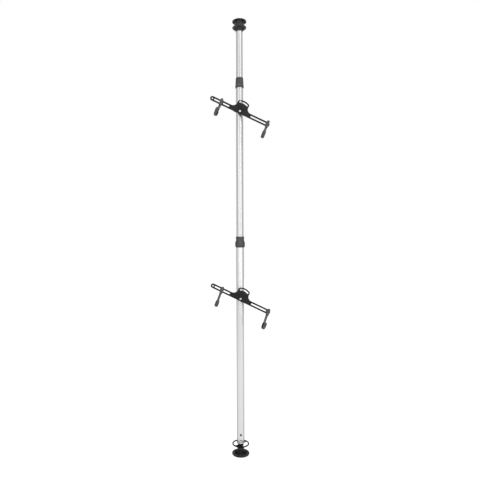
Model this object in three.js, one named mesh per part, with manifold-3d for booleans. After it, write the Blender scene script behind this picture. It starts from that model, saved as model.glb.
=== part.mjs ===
// Floor-to-ceiling bicycle storage tower: three telescoping tubes, a screw foot and two hook holders.
// Millimetres, +Z up, -Y is the front, origin on the floor under the middle of the foot.
import * as THREE from 'three';
import { mergeVertices } from 'three/addons/utils/BufferGeometryUtils.js';
import Module from 'manifold-3d';

const wasm = await Module();
wasm.setup();

// Gaps and overruns that the whole part shares
const seatGap = 0.3;
const runningGap = 0.4;
const cutOverrun = 6;

// Foot
const floorPadRadius = 57;
const floorPadThickness = 3;
const floorPadChamfer = 1;
const footRadius = 60;
const footEdgeRound = 3;
const footRimWidth = 7;
const footRimHeight = 8;
const footWellDepth = 3;
const footHubRadius = 21.5;
const footHubHeight = 26;
const footFloorThickness = 6;
const footRibCount = 8;
const footRibWidth = 3;
const footRibRise = 15;

// Tension spindle and its screw cap
const spindleRadius = 8;
const spindleChamfer = 2;
const spindleLength = 175;
const spindleFlangeRadius = 14;
const spindleFlangeThickness = 6;
const spindleCapThickness = 5.4;
const spindleCapChamfer = 1.5;

// Handwheel
const handwheelClearance = 4;
const handwheelHubRadius = 16.5;
const handwheelHubHeight = 36.6;
const handwheelFlangeRadius = 24;
const handwheelFlangeThickness = 8;
const handwheelTopThickness = 3;
const handwheelNutRadius = 12;
const handwheelNutFlangeRadius = 14;
const handwheelNutFlangeThickness = 3;
const handwheelRingRadius = 54.5;
const handwheelRodRadius = 4.6;
const handwheelRingHeight = 33;
const handwheelBandThickness = 3;
const handwheelBandHeight = 10;
const handwheelBandDrop = 6;
const spokeAngles = [45, 225];
const thrustWasherThickness = 1.5;

// Tubes
const lowerTubeRadius = 27;
const lowerTubeLength = 1380;
const middleTubeLength = 1316;
const middleTubeInsertion = 221;
const upperTubeLength = 898;
const upperTubeInsertion = 506;
const tubeWall = 1.6;
const fluteCount = 8;
const fluteWidth = 7;
const fluteDepth = 0.8;

// Plug in the bottom end of the lower tube
const endPlugFlangeThickness = 3;
const endPlugLength = 70;
const endPlugBoreDepth = 32;
const endPlugWall = 6;
const plugScrewHeight = 60;
const plugScrewShankRadius = 3;
const plugScrewHeadRadius = 7;
const plugScrewHeadThickness = 3;
const plugScrewReach = 9;
const sightHoleHeight = 23;
const sightHoleRadius = 4.5;

// Glides on the lower ends of the sliding tubes
const glideFlangeThickness = 8;
const glidePlugLength = 25;
const glideWall = 6;

// Lower twist lock
const lowerSleeveWall = 2.7;
const lowerSleeveOverlap = 23;
const lowerSleeveLip = 3.2;
const lowerColletHeight = 11;
const lowerColletTaper = 2.2;
const lowerCollarSkirt = 6;
const lowerCollarHeight = 75;
const lowerCollarRadius = 33.5;
const lowerCollarWaistRadius = 27.4;
const lowerCollarLipRadius = 28.8;
const lowerCollarChamferWidth = 5;
const lowerCollarChamferHeight = 6.5;
const lowerCollarFlareStart = 31;
const lowerCollarWaistHeight = 54;
const lowerCollarLipHeight = 68;
const lowerCollarLipRound = 0.9;
const lowerCollarGrooveDepth = 1.2;

// Upper twist lock
const upperSleeveWall = 1.5;
const upperSleeveOverlap = 15;
const upperSleeveLip = 3.2;
const upperColletHeight = 9;
const upperColletTaper = 1.4;
const upperCollarSkirt = 4;
const upperCollarHeight = 70;
const upperCollarRadius = 29.6;
const upperCollarTopRadius = 25.6;
const upperCollarRound = 2.5;
const upperCollarGrooveDepth = 1;
const grooveRadius = 3;
const colletSlit = 4;

// Top that presses on the ceiling
const topCapPlugLength = 43;
const topCapSkirtWall = 2.4;
const topCapSkirtDepth = 20;
const topCapUndercut = 3;
const topDiscRadius = 49;
const topDiscThickness = 6;
const topDiscRound = 1.2;
const topWaistRadius = 33;
const topCapNeck = 17.5;
const ceilingPlateNeck = 17.6;
const ceilingPlateThickness = 4.5;
const ceilingPadThickness = 2.5;
const ceilingPadChamfer = 0.8;
const ceilingScrewRadius = 4;
const ceilingScrewHeadRadius = 8;
const ceilingScrewHeadThickness = 5;
const ceilingScrewLength = 60;
const ceilingScrewRecess = 6;

// Holder clamp, measured from the pivot bolt
const upperHolderBelowCollar = 175;
const lowerHolderAboveTubeEnd = 1001;
const clampBandBottom = 14;
const clampBandTop = 38;
const clampLinerRadius = 30.3;
const linerLipThickness = 2;
const linerLipHeight = 2.5;
const linerSlit = 3;
const clampEarReach = 40.5;
const clampEarDepth = 12;
const clampPartingHalf = 0.6;
const clampWall = 5.4;
const clampSeatHalfWidth = 26;
const clampPocketFlange = 4;
const clampPocketWidth = 9;
const clampPocketDepth = 10;
const clampSpineFootRadius = 12;
const clampSpineHeadRadius = 8.5;
const clampBoltRadius = 2.5;
const clampBoltOffset = 35.3;
const clampBoltInset = 6.2;
const clampBoltHeadRadius = 4.3;
const clampBoltHeadThickness = 5;
const clampBoltReach = 9;
const holderBoltRadius = 4;
const holderBoltHeadAcross = 13;
const holderBoltHeadThickness = 5.3;
const holderWasherRadius = 6.5;
const holderWasherThickness = 0.8;
const holderBoltReach = 10;
const holderBoltSides = 6;
const lockBoltAngle = 2.5;

// Holder plate
const plateStandOff = 46;
const plateThickness = 5;
const plateTilt = 25.7;
const plateTiltReach = 26.5;
const barHalfWidth = 16;
const endHoleOffset = 207.5;
const endHoleRadius = 5;
const slotHalfWidth = 5;
const slotInner = 85;
const slotOuter = 190;
const arcSlotRadius = 62.5;
const arcSlotHalfWidth = 4.75;
const headEarRadius = 14.5;
const headFilletRadius = 31;

// Hooks
const leftHookPlace = -141;
const hookTurn = -4;
const hookBlockHalfWidth = 10;
const hookBlockAbove = 24.5;
const hookBlockBelow = 24;
const hookBlockDepth = 18;
const strapWidth = 16;
const strapThickness = 8;
const strapBendRadius = 22;
const strapBendAngle = 20;
const strapSlope = 46;
const cradleRadius = 28;
const cradleLip = 18;
const padWidth = 23;
const padThickness = 5;
const padBackLength = 6;
const padLipLength = 12;
const padWrap = 5;
const hookStudDepth = 14;
const knobRadius = 12.6;
const knobLobe = 1.4;
const knobLobes = 6;
const knobThickness = 12;
const knobCollarRadius = 8;
const knobCollarHeight = 2.5;

// Facets
const tubeSteps = 48;
const roundSteps = 28;
const smallRoundSteps = 20;
const boltSteps = 12;
const smallBoltSteps = 8;
const cornerSteps = 3;
const slotEndSteps = 6;
const barEndSteps = 8;
const filletSteps = 5;
const arcSlotSteps = 8;
const lobeSteps = 4;
const bendDegreesPerStep = 15;
const fewestBendSteps = 4;
const flareSteps = 5;

// Finishes
const aluminium = { color: 0xd4d6d8, metalness: 0.9, roughness: 0.32 };
const blackPlastic = { color: 0x1b1c1e, metalness: 0, roughness: 0.5 };
const blackSteel = { color: 0x1a1b1d, metalness: 0.3, roughness: 0.42 };
const rubber = { color: 0x141414, metalness: 0, roughness: 0.8 };
const zinc = { color: 0xc4c6c8, metalness: 0.9, roughness: 0.35 };
const brass = { color: 0xb08d4a, metalness: 0.9, roughness: 0.4 };
const nylon = { color: 0xdcdcd6, metalness: 0, roughness: 0.45 };

// Heights along the pole, each from the piece below
const footBottom = floorPadThickness + seatGap;
const footRimTop = footBottom + footRimHeight;
const footWellFloor = footRimTop - footWellDepth;
const footHubTop = footBottom + footHubHeight;
const socketFloor = footBottom + footFloorThickness;
const socketRadius = spindleFlangeRadius + seatGap;
const spindleBottom = socketFloor + seatGap;
const spindleFlangeTop = spindleBottom + spindleFlangeThickness;
const spindleHoleRadius = spindleRadius + runningGap;
const spindleCapBottom = footHubTop + seatGap;
const spindleCapTop = spindleCapBottom + spindleCapThickness;
const handwheelBottom = spindleCapTop + handwheelClearance;
const handwheelTop = handwheelBottom + handwheelHubHeight;
const thrustWasherBottom = handwheelTop + seatGap;
const endPlugBottom = thrustWasherBottom + thrustWasherThickness + seatGap;
const endPlugShoulder = endPlugBottom + endPlugFlangeThickness;
const lowerTubeBottom = endPlugShoulder + seatGap;
const lowerTubeTop = lowerTubeBottom + lowerTubeLength;
const middleTubeBottom = lowerTubeTop - middleTubeInsertion;
const middleTubeTop = middleTubeBottom + middleTubeLength;
const upperTubeBottom = middleTubeTop - upperTubeInsertion;
const upperTubeTop = upperTubeBottom + upperTubeLength;

// Tube radii, each a running gap inside the tube round it
const lowerTubeBore = lowerTubeRadius - tubeWall;
const middleTubeRadius = lowerTubeBore - runningGap;
const middleTubeBore = middleTubeRadius - tubeWall;
const upperTubeRadius = middleTubeBore - runningGap;
const upperTubeBore = upperTubeRadius - tubeWall;

// Holders
const upperCollarBottom = middleTubeTop - upperSleeveOverlap - upperCollarSkirt;
const upperPivotHeight = upperCollarBottom - upperHolderBelowCollar;
const lowerPivotHeight = lowerTubeBottom + lowerHolderAboveTubeEnd;
const clampBore = clampLinerRadius + seatGap;
const clampSeatDepth = plateStandOff - seatGap;
const plateFront = plateStandOff + plateThickness;
const hookBack = plateFront + seatGap;
const hookStudRadius = slotHalfWidth - runningGap - runningGap;
const strapHalf = strapThickness / 2;
const strapBackDepth = hookBlockDepth / 2;

// Points on an arc, in degrees
function arcPoints(centreX, centreY, radius, fromAngle, toAngle, steps) {
  const points = [];
  for (let i = 0; i <= steps; i++) {
    const angle = THREE.MathUtils.degToRad(fromAngle + (toAngle - fromAngle) * i / steps);
    points.push(new THREE.Vector2(centreX + radius * Math.cos(angle), centreY + radius * Math.sin(angle)));
  }
  return points;
}

function point(x, y) {
  return new THREE.Vector2(x, y);
}

// A closed solid that can be joined and cut, with its faces turned outwards
function solidOf(geometry) {
  const bare = geometry.clone();
  bare.deleteAttribute('normal');
  bare.deleteAttribute('uv');
  const merged = mergeVertices(bare);
  const position = merged.getAttribute('position').array;
  const index = merged.index.array;
  const corners = [];
  for (let i = 0; i < index.length; i += 3) {
    const [a, b, c] = [index[i], index[i + 1], index[i + 2]];
    if (a !== b && b !== c && c !== a) corners.push(a, b, c);
  }
  if (signedVolume(position, corners) < 0) corners.reverse();
  return new wasm.Manifold(new wasm.Mesh({
    numProp: 3,
    vertProperties: new Float32Array(position),
    triVerts: new Uint32Array(corners),
  }));
}

function signedVolume(position, corners) {
  const at = (i) => new THREE.Vector3().fromArray(position, 3 * corners[i]);
  let volume = 0;
  for (let i = 0; i < corners.length; i += 3) {
    volume += at(i).dot(at(i + 1).cross(at(i + 2)));
  }
  return volume;
}

function geometryOf(solid) {
  const mesh = solid.getMesh();
  const geometry = new THREE.BufferGeometry();
  geometry.setAttribute('position', new THREE.BufferAttribute(new Float32Array(mesh.vertProperties), 3));
  geometry.setIndex(new THREE.BufferAttribute(new Uint32Array(mesh.triVerts), 1));
  geometry.computeVertexNormals();
  return geometry;
}

// A profile of radius and height turned about the pole
function turned(profile, steps = roundSteps) {
  return solidOf(new THREE.LatheGeometry(profile, steps).rotateX(Math.PI / 2));
}

// A closed ring profile, whose last point meets its first
function turnedRing(profile, steps = roundSteps) {
  return turned([...profile, profile[0].clone()], steps);
}

// An outline extruded upwards from a height
function raised(outline, bottom, height, holes = []) {
  const shape = new THREE.Shape(outline);
  shape.holes = holes.map((hole) => new THREE.Path(hole));
  const geometry = new THREE.ExtrudeGeometry(shape, { depth: height, bevelEnabled: false });
  return solidOf(geometry.translate(0, 0, bottom));
}

// An outline of x and z extruded forwards, from one distance in front of the pole to another
function extrudedForwards(outline, from, to, holes = []) {
  const shape = new THREE.Shape(outline);
  shape.holes = holes.map((hole) => new THREE.Path(hole));
  const geometry = new THREE.ExtrudeGeometry(shape, { depth: to - from, bevelEnabled: false });
  return solidOf(geometry.rotateX(Math.PI / 2).translate(0, -from, 0));
}

// An outline of forward reach and height extruded sideways, centred
function extrudedSideways(outline, width) {
  const geometry = new THREE.ExtrudeGeometry(new THREE.Shape(outline), { depth: width, bevelEnabled: false });
  geometry.translate(0, 0, -width / 2);
  const forwards = new THREE.Vector3(0, -1, 0);
  const up = new THREE.Vector3(0, 0, 1);
  const sideways = new THREE.Vector3(-1, 0, 0);
  return solidOf(geometry.applyMatrix4(new THREE.Matrix4().makeBasis(forwards, up, sideways)));
}

function circle(centreX, centreY, radius, steps = smallRoundSteps) {
  return arcPoints(centreX, centreY, radius, 0, 360, steps).slice(0, -1);
}

// A rod along the front-to-back axis
function rodForwards(x, z, radius, from, to, steps = boltSteps) {
  return extrudedForwards(circle(x, z, radius, steps), from, to);
}

// A box from its two corners
function boxBetween(low, high) {
  const size = high.clone().sub(low);
  const middle = high.clone().add(low).multiplyScalar(1 / 2);
  return solidOf(new THREE.BoxGeometry(size.x, size.y, size.z).translate(middle.x, middle.y, middle.z));
}

// A copy turned about the pole
function spun(solid, degrees) {
  return solid.rotate([0, 0, degrees]);
}

function mesh(name, solid, finish) {
  const material = new THREE.MeshStandardMaterial({ ...finish, flatShading: true });
  const piece = new THREE.Mesh(geometryOf(solid), material);
  piece.name = name;
  return piece;
}

// Foot: rubber pad, ribbed moulded base, flanged spindle and the cap that keeps it in
function floorPad() {
  return turned([
    point(0, 0),
    point(floorPadRadius, 0),
    point(floorPadRadius, floorPadThickness - floorPadChamfer),
    point(floorPadRadius - floorPadChamfer, floorPadThickness),
    point(0, floorPadThickness),
  ]);
}

function footBase() {
  const wellRadius = footRadius - footRimWidth;
  const flareRadius = footHubRadius + footEdgeRound;
  const body = turned([
    point(0, footBottom),
    point(footRadius - footEdgeRound / 2, footBottom),
    point(footRadius, footBottom + footEdgeRound / 2),
    ...arcPoints(footRadius - footEdgeRound, footRimTop - footEdgeRound, footEdgeRound, 0, 90, cornerSteps),
    point(wellRadius, footRimTop),
    point(wellRadius - footEdgeRound / 2, footWellFloor),
    point(flareRadius, footWellFloor),
    point(footHubRadius, footWellFloor + footEdgeRound),
    point(footHubRadius, footHubTop),
    point(socketRadius, footHubTop),
    point(socketRadius, socketFloor),
    point(0, socketFloor),
  ]);
  const hubCore = (footHubRadius + socketRadius) / 2;
  const ribOutline = [
    point(hubCore, footWellFloor - footEdgeRound / 2),
    point(wellRadius + footRimWidth / 2, footWellFloor - footEdgeRound / 2),
    point(wellRadius + footRimWidth / 2, footRimTop - footEdgeRound / 3),
    point(wellRadius - footEdgeRound / 2, footRimTop - footEdgeRound / 3),
    point(hubCore, footWellFloor + footRibRise),
  ];
  const rib = extrudedSideways(ribOutline, footRibWidth);
  let base = body;
  for (let i = 0; i < footRibCount; i++) {
    base = base.add(spun(rib, (i + 1 / 2) * 360 / footRibCount));
  }
  return base;
}

function tensionSpindle() {
  const top = spindleBottom + spindleLength;
  return turned([
    point(0, spindleBottom),
    point(spindleFlangeRadius, spindleBottom),
    point(spindleFlangeRadius, spindleFlangeTop),
    point(spindleRadius, spindleFlangeTop),
    point(spindleRadius, top - spindleChamfer),
    point(spindleRadius - spindleChamfer, top),
    point(0, top),
  ], smallRoundSteps);
}

function spindleCap() {
  return turnedRing([
    point(spindleHoleRadius, spindleFlangeTop + seatGap),
    point(spindleFlangeRadius, spindleFlangeTop + seatGap),
    point(spindleFlangeRadius, spindleCapBottom),
    point(footHubRadius, spindleCapBottom),
    point(footHubRadius, spindleCapTop - spindleCapChamfer),
    point(footHubRadius - spindleCapChamfer, spindleCapTop),
    point(spindleHoleRadius, spindleCapTop),
  ], smallRoundSteps);
}

// Handwheel: moulded hub, threaded brass nut and a rod ring on two spokes
function handwheelHub() {
  const flangeTop = handwheelBottom + handwheelFlangeThickness;
  const nutSeat = handwheelNutRadius + seatGap;
  const nutFlangeSeat = handwheelNutFlangeRadius + seatGap;
  const counterbore = handwheelBottom + handwheelNutFlangeThickness + seatGap + seatGap;
  const topFloor = handwheelTop - handwheelTopThickness;
  return turnedRing([
    point(nutFlangeSeat, handwheelBottom),
    point(handwheelFlangeRadius - spindleCapChamfer, handwheelBottom),
    point(handwheelFlangeRadius, handwheelBottom + spindleCapChamfer),
    point(handwheelFlangeRadius, flangeTop - spindleCapChamfer),
    point(handwheelFlangeRadius - spindleCapChamfer, flangeTop),
    point(handwheelHubRadius, flangeTop),
    point(handwheelHubRadius, handwheelTop),
    point(spindleHoleRadius, handwheelTop),
    point(spindleHoleRadius, topFloor),
    point(nutSeat, topFloor),
    point(nutSeat, counterbore),
    point(nutFlangeSeat, counterbore),
  ], smallRoundSteps);
}

function handwheelNut() {
  const bottom = handwheelBottom + seatGap;
  const flangeTop = bottom + handwheelNutFlangeThickness;
  const top = handwheelTop - handwheelTopThickness - seatGap;
  return turnedRing([
    point(spindleHoleRadius, bottom),
    point(handwheelNutFlangeRadius, bottom),
    point(handwheelNutFlangeRadius, flangeTop),
    point(handwheelNutRadius, flangeTop),
    point(handwheelNutRadius, top),
    point(spindleHoleRadius, top),
  ], boltSteps);
}

function handwheelRing() {
  const ringHeight = handwheelBottom + handwheelRingHeight;
  const bandRadius = handwheelHubRadius + seatGap;
  const bandBottom = ringHeight - handwheelBandDrop - handwheelBandHeight / 2;
  const rod = circle(handwheelRingRadius, ringHeight, handwheelRodRadius, smallBoltSteps);
  const band = turnedRing([
    point(bandRadius, bandBottom),
    point(bandRadius + handwheelBandThickness, bandBottom),
    point(bandRadius + handwheelBandThickness, bandBottom + handwheelBandHeight),
    point(bandRadius, bandBottom + handwheelBandHeight),
  ]);
  const from = new THREE.Vector3(bandRadius + handwheelBandThickness / 2, 0, ringHeight - handwheelBandDrop);
  const to = new THREE.Vector3(handwheelRingRadius, 0, ringHeight);
  const along = to.clone().sub(from);
  const spokeGeometry = new THREE.CylinderGeometry(
    handwheelRodRadius, handwheelRodRadius, along.length(), smallBoltSteps,
  );
  const upright = new THREE.Vector3(0, 1, 0);
  const lean = new THREE.Quaternion().setFromUnitVectors(upright, along.clone().normalize());
  const middle = from.clone().add(to).multiplyScalar(1 / 2);
  const bore = turned([
    point(0, bandBottom - cutOverrun),
    point(bandRadius, bandBottom - cutOverrun),
    point(bandRadius, bandBottom + handwheelBandHeight + cutOverrun),
    point(0, bandBottom + handwheelBandHeight + cutOverrun),
  ]);
  const spoke = solidOf(spokeGeometry.applyQuaternion(lean).translate(middle.x, middle.y, middle.z));
  let ring = turnedRing(rod).add(band);
  for (const angle of spokeAngles) ring = ring.add(spun(spoke, angle));
  return ring.subtract(bore);
}

function thrustWasher() {
  const top = thrustWasherBottom + thrustWasherThickness;
  return turnedRing([
    point(spindleHoleRadius, thrustWasherBottom),
    point(handwheelHubRadius, thrustWasherBottom),
    point(handwheelHubRadius, top),
    point(spindleHoleRadius, top),
  ], smallRoundSteps);
}

// Lower tube, its end plug and the screw that holds them together
function endPlug() {
  const fit = lowerTubeBore - seatGap;
  const top = endPlugBottom + endPlugLength;
  const boreTop = endPlugBottom + endPlugBoreDepth;
  const body = turnedRing([
    point(spindleHoleRadius, endPlugBottom),
    point(lowerTubeRadius, endPlugBottom),
    point(lowerTubeRadius, endPlugShoulder),
    point(fit, endPlugShoulder),
    point(fit, top),
    point(fit - endPlugWall, top),
    point(fit - endPlugWall, boreTop),
    point(spindleHoleRadius, boreTop),
  ], smallRoundSteps);
  const hole = rodForwards(
    0, lowerTubeBottom + plugScrewHeight, plugScrewShankRadius + seatGap,
    fit - endPlugWall - cutOverrun, fit + cutOverrun,
  );
  return body.subtract(hole);
}

function endPlugScrew() {
  const height = lowerTubeBottom + plugScrewHeight;
  const seat = lowerTubeRadius + seatGap;
  const headRim = plugScrewHeadThickness / 2;
  const dome = [
    point(0, 0),
    point(plugScrewHeadRadius, 0),
    point(plugScrewHeadRadius, headRim),
    point(plugScrewHeadRadius * 2 / 3, plugScrewHeadThickness),
    point(0, plugScrewHeadThickness),
  ];
  const head = turned(dome, boltSteps).rotate([90, 0, 0]).translate([0, -seat, height]);
  return head.add(rodForwards(0, height, plugScrewShankRadius, seat - plugScrewReach, seat + headRim));
}

function plainTube(radius, bottom, length) {
  return turnedRing([
    point(radius - tubeWall, bottom),
    point(radius, bottom),
    point(radius, bottom + length),
    point(radius - tubeWall, bottom + length),
  ], tubeSteps);
}

function lowerTube() {
  const plugHole = rodForwards(
    0, lowerTubeBottom + plugScrewHeight, plugScrewShankRadius + seatGap,
    lowerTubeBore - cutOverrun, lowerTubeRadius + cutOverrun,
  );
  const sightHole = rodForwards(
    0, lowerTubeBottom + sightHoleHeight, sightHoleRadius,
    lowerTubeBore - cutOverrun, lowerTubeRadius + cutOverrun,
  );
  return plainTube(lowerTubeRadius, lowerTubeBottom, lowerTubeLength).subtract(plugHole).subtract(sightHole);
}

// An extruded tube with shallow flutes, one of them facing the front
function flutedTube(radius, bottom, length) {
  const outline = [];
  const pitch = 360 / fluteCount;
  const halfFlute = THREE.MathUtils.radToDeg(Math.asin(fluteWidth / 2 / radius));
  const chordDepth = radius - radius * Math.cos(THREE.MathUtils.degToRad(halfFlute));
  const rise = fluteDepth - chordDepth;
  const scoop = (fluteWidth * fluteWidth / 4 + rise * rise) / (2 * rise);
  const scoopHalf = THREE.MathUtils.radToDeg(Math.asin(fluteWidth / 2 / scoop));
  for (let i = 0; i < fluteCount; i++) {
    const middle = i * pitch - 90;
    const toScoop = THREE.MathUtils.degToRad(middle);
    const reach = radius - fluteDepth + scoop;
    outline.push(...arcPoints(
      reach * Math.cos(toScoop), reach * Math.sin(toScoop), scoop,
      middle + 180 + scoopHalf, middle + 180 - scoopHalf, cornerSteps,
    ));
    const land = arcPoints(0, 0, radius, middle + halfFlute, middle + pitch - halfFlute, cornerSteps);
    outline.push(...land.slice(1, -1));
  }
  return raised(outline, bottom, length, [circle(0, 0, radius - tubeWall, tubeSteps)]);
}

// A bush that closes the lower end of a sliding tube and rides in the tube round it
function glide(tubeRadius, tubeBottom) {
  const top = tubeBottom - seatGap;
  const fit = tubeRadius - tubeWall - seatGap;
  return turnedRing([
    point(fit - glideWall, top - glideFlangeThickness),
    point(tubeRadius, top - glideFlangeThickness),
    point(tubeRadius, top),
    point(fit, top),
    point(fit, top + glidePlugLength),
    point(fit - glideWall, top + glidePlugLength),
  ], smallRoundSteps);
}

// Twist locks: a sleeve on the outer tube, a split collet on the inner one and the collar over both
function lockSleeve(tubeRadius, tubeTop, wall, overlap, lip) {
  const inner = tubeRadius + seatGap;
  const outer = inner + wall;
  const lipBore = tubeRadius - tubeWall;
  return turnedRing([
    point(inner, tubeTop - overlap),
    point(outer, tubeTop - overlap),
    point(outer, tubeTop + seatGap + lip),
    point(lipBore, tubeTop + seatGap + lip),
    point(lipBore, tubeTop + seatGap),
    point(inner, tubeTop + seatGap),
  ]);
}

function lockCollet(tubeRadius, bottom, height, outer, taper) {
  const inner = tubeRadius - tubeWall - runningGap + seatGap;
  const cone = turnedRing([
    point(inner, bottom),
    point(outer, bottom),
    point(outer - taper, bottom + height),
    point(inner, bottom + height),
  ], roundSteps);
  const slit = boxBetween(
    new THREE.Vector3(0, -colletSlit / 2, bottom - cutOverrun),
    new THREE.Vector3(outer + cutOverrun, colletSlit / 2, bottom + height + cutOverrun),
  );
  return cone.subtract(spun(slit, 90));
}

// Vertical grooves round a collar, as many as the tubes have flutes, turned by a part of their pitch
function grooved(collar, faceRadius, depth, bottom, top, pitchTurn = 0) {
  const centre = faceRadius - depth + grooveRadius;
  let cut = collar;
  for (let i = 0; i < fluteCount; i++) {
    const groove = raised(circle(0, -centre, grooveRadius, smallBoltSteps), bottom, top - bottom);
    cut = cut.subtract(spun(groove, (i + pitchTurn) * 360 / fluteCount));
  }
  return cut;
}

const lowerColletBottom = lowerTubeTop + seatGap + lowerSleeveLip + seatGap;
const lowerSleeveOuter = lowerTubeRadius + seatGap + lowerSleeveWall;
const lowerColletOuter = lowerSleeveOuter - runningGap - runningGap;
const lowerCollarBottom = lowerTubeTop - lowerSleeveOverlap - lowerCollarSkirt;
const upperColletBottom = middleTubeTop + seatGap + upperSleeveLip + seatGap;
const upperSleeveOuter = middleTubeRadius + seatGap + upperSleeveWall;
const upperColletOuter = upperSleeveOuter - runningGap - runningGap;

// The inside of a collar: a wide bore over the sleeve, a cone on the collet and a bore on the inner tube
function collarBore(sleeveOuter, bottom, top, colletBottom, colletHeight, colletOuter, taper, tubeBore) {
  const wide = sleeveOuter + seatGap;
  const coneWide = colletOuter + seatGap;
  return [
    point(tubeBore, top),
    point(tubeBore, colletBottom + colletHeight + seatGap),
    point(coneWide - taper, colletBottom + colletHeight + seatGap),
    point(coneWide, colletBottom),
    point(wide, colletBottom - seatGap),
    point(wide, bottom),
  ];
}

function lowerCollar() {
  const bottom = lowerCollarBottom;
  const top = bottom + lowerCollarHeight;
  const flareBottom = bottom + lowerCollarFlareStart;
  const waist = bottom + lowerCollarWaistHeight;
  const lip = bottom + lowerCollarLipHeight;
  const innerLip = lowerTubeRadius + runningGap;
  const flare = [];
  for (let i = 0; i <= flareSteps; i++) {
    const along = i / flareSteps;
    const ease = (1 + Math.cos(Math.PI * along)) / 2;
    flare.push(point(
      lowerCollarWaistRadius + (lowerCollarRadius - lowerCollarWaistRadius) * ease,
      flareBottom + (waist - flareBottom) * along,
    ));
  }
  const profile = [
    point(innerLip, bottom),
    point(lowerCollarRadius - lowerCollarChamferWidth, bottom),
    point(lowerCollarRadius, bottom + lowerCollarChamferHeight),
    ...flare,
    point(lowerCollarLipRadius, lip),
    point(lowerCollarLipRadius, top - lowerCollarLipRound),
    point(lowerCollarLipRadius - lowerCollarLipRound, top),
    ...collarBore(lowerSleeveOuter, bottom + lowerCollarSkirt - seatGap, top, lowerColletBottom,
      lowerColletHeight, lowerColletOuter, lowerColletTaper, lowerTubeBore),
    point(innerLip, bottom + lowerCollarSkirt - seatGap),
  ];
  const ring = turnedRing(profile);
  return grooved(ring, lowerCollarLipRadius, lowerCollarGrooveDepth, waist, top + cutOverrun, 1 / 2);
}

function upperCollar() {
  const bottom = upperCollarBottom;
  const top = bottom + upperCollarHeight;
  const profile = [
    point(upperCollarRadius - upperCollarRound / 2, bottom),
    point(upperCollarRadius, bottom + upperCollarRound),
    point(upperCollarTopRadius, top - upperCollarRound),
    point(upperCollarTopRadius - upperCollarRound / 3, top),
    ...collarBore(upperSleeveOuter, bottom, top, upperColletBottom, upperColletHeight,
      upperColletOuter, upperColletTaper, middleTubeBore),
  ];
  return grooved(turnedRing(profile), upperCollarRadius, upperCollarGrooveDepth, bottom - cutOverrun, top);
}

// Top: moulded cap in the upper tube, ceiling plate, rubber pad and the screw through them
const topCapShoulder = upperTubeTop + seatGap;
const topDiscBottom = topCapShoulder + topCapUndercut;
const topDiscTop = topDiscBottom + topDiscThickness;
const topCapTop = topDiscTop + topCapNeck;
const ceilingPlateBottom = topCapTop + seatGap;
const ceilingPlateUnder = ceilingPlateBottom + ceilingPlateNeck;
const ceilingPlateTop = ceilingPlateUnder + ceilingPlateThickness;
const ceilingScrewHole = ceilingScrewRadius + seatGap;

function topCap() {
  const skirtBore = upperTubeRadius + seatGap;
  const skirtOuter = skirtBore + topCapSkirtWall;
  const plugFit = upperTubeBore - seatGap;
  return turnedRing([
    point(ceilingScrewHole, upperTubeTop - topCapPlugLength),
    point(plugFit, upperTubeTop - topCapPlugLength),
    point(plugFit, topCapShoulder),
    point(skirtBore, topCapShoulder),
    point(skirtBore, upperTubeTop - topCapSkirtDepth),
    point(skirtOuter, upperTubeTop - topCapSkirtDepth),
    point(skirtOuter + topCapSkirtWall, topCapShoulder - topCapUndercut),
    point(topDiscRadius - topDiscRound * 2, topDiscBottom),
    point(topDiscRadius, topDiscBottom + topDiscRound * 2),
    ...arcPoints(topDiscRadius - topDiscRound, topDiscTop - topDiscRound, topDiscRound, 0, 90, cornerSteps),
    point(topWaistRadius, topDiscTop),
    point(topWaistRadius, topCapTop),
    point(ceilingScrewHole, topCapTop),
  ]);
}

function ceilingPlate() {
  const recessRadius = ceilingScrewHeadRadius + seatGap;
  const recessFloor = ceilingPlateTop - ceilingScrewRecess;
  return turnedRing([
    point(ceilingScrewHole, ceilingPlateBottom),
    point(topWaistRadius, ceilingPlateBottom),
    point(topWaistRadius, ceilingPlateUnder),
    point(topDiscRadius - topDiscRound, ceilingPlateUnder),
    point(topDiscRadius, ceilingPlateUnder + topDiscRound),
    point(topDiscRadius, ceilingPlateTop),
    point(recessRadius, ceilingPlateTop),
    point(recessRadius, recessFloor),
    point(ceilingScrewHole, recessFloor),
  ]);
}

function ceilingPad() {
  const bottom = ceilingPlateTop + seatGap;
  const top = bottom + ceilingPadThickness;
  return turned([
    point(0, bottom),
    point(topDiscRadius, bottom),
    point(topDiscRadius, top - ceilingPadChamfer),
    point(topDiscRadius - ceilingPadChamfer, top),
    point(0, top),
  ]);
}

function ceilingScrew() {
  const headBottom = ceilingPlateTop - ceilingScrewRecess + seatGap;
  const headTop = headBottom + ceilingScrewHeadThickness;
  return turned([
    point(0, headBottom - ceilingScrewLength),
    point(ceilingScrewRadius, headBottom - ceilingScrewLength),
    point(ceilingScrewRadius, headBottom),
    point(ceilingScrewHeadRadius, headBottom),
    point(ceilingScrewHeadRadius, headTop),
    point(0, headTop),
  ], boltSteps);
}

// Holder clamp: rubber liner, front body with the plate's seat, back shell and their bolts
function clampLiner(tubeRadius) {
  const inner = tubeRadius + seatGap;
  const lip = clampBore + linerLipHeight;
  const low = clampBandBottom - seatGap;
  const high = clampBandTop + seatGap;
  const ring = turnedRing([
    point(inner, low - linerLipThickness),
    point(lip, low - linerLipThickness),
    point(lip, low),
    point(clampLinerRadius, low),
    point(clampLinerRadius, high),
    point(lip, high),
    point(lip, high + linerLipThickness),
    point(inner, high + linerLipThickness),
  ], roundSteps);
  const slit = boxBetween(
    new THREE.Vector3(0, -linerSlit / 2, low - linerLipThickness - cutOverrun),
    new THREE.Vector3(lip + cutOverrun, linerSlit / 2, high + linerLipThickness + cutOverrun),
  );
  return ring.subtract(spun(slit, 90));
}

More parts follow.
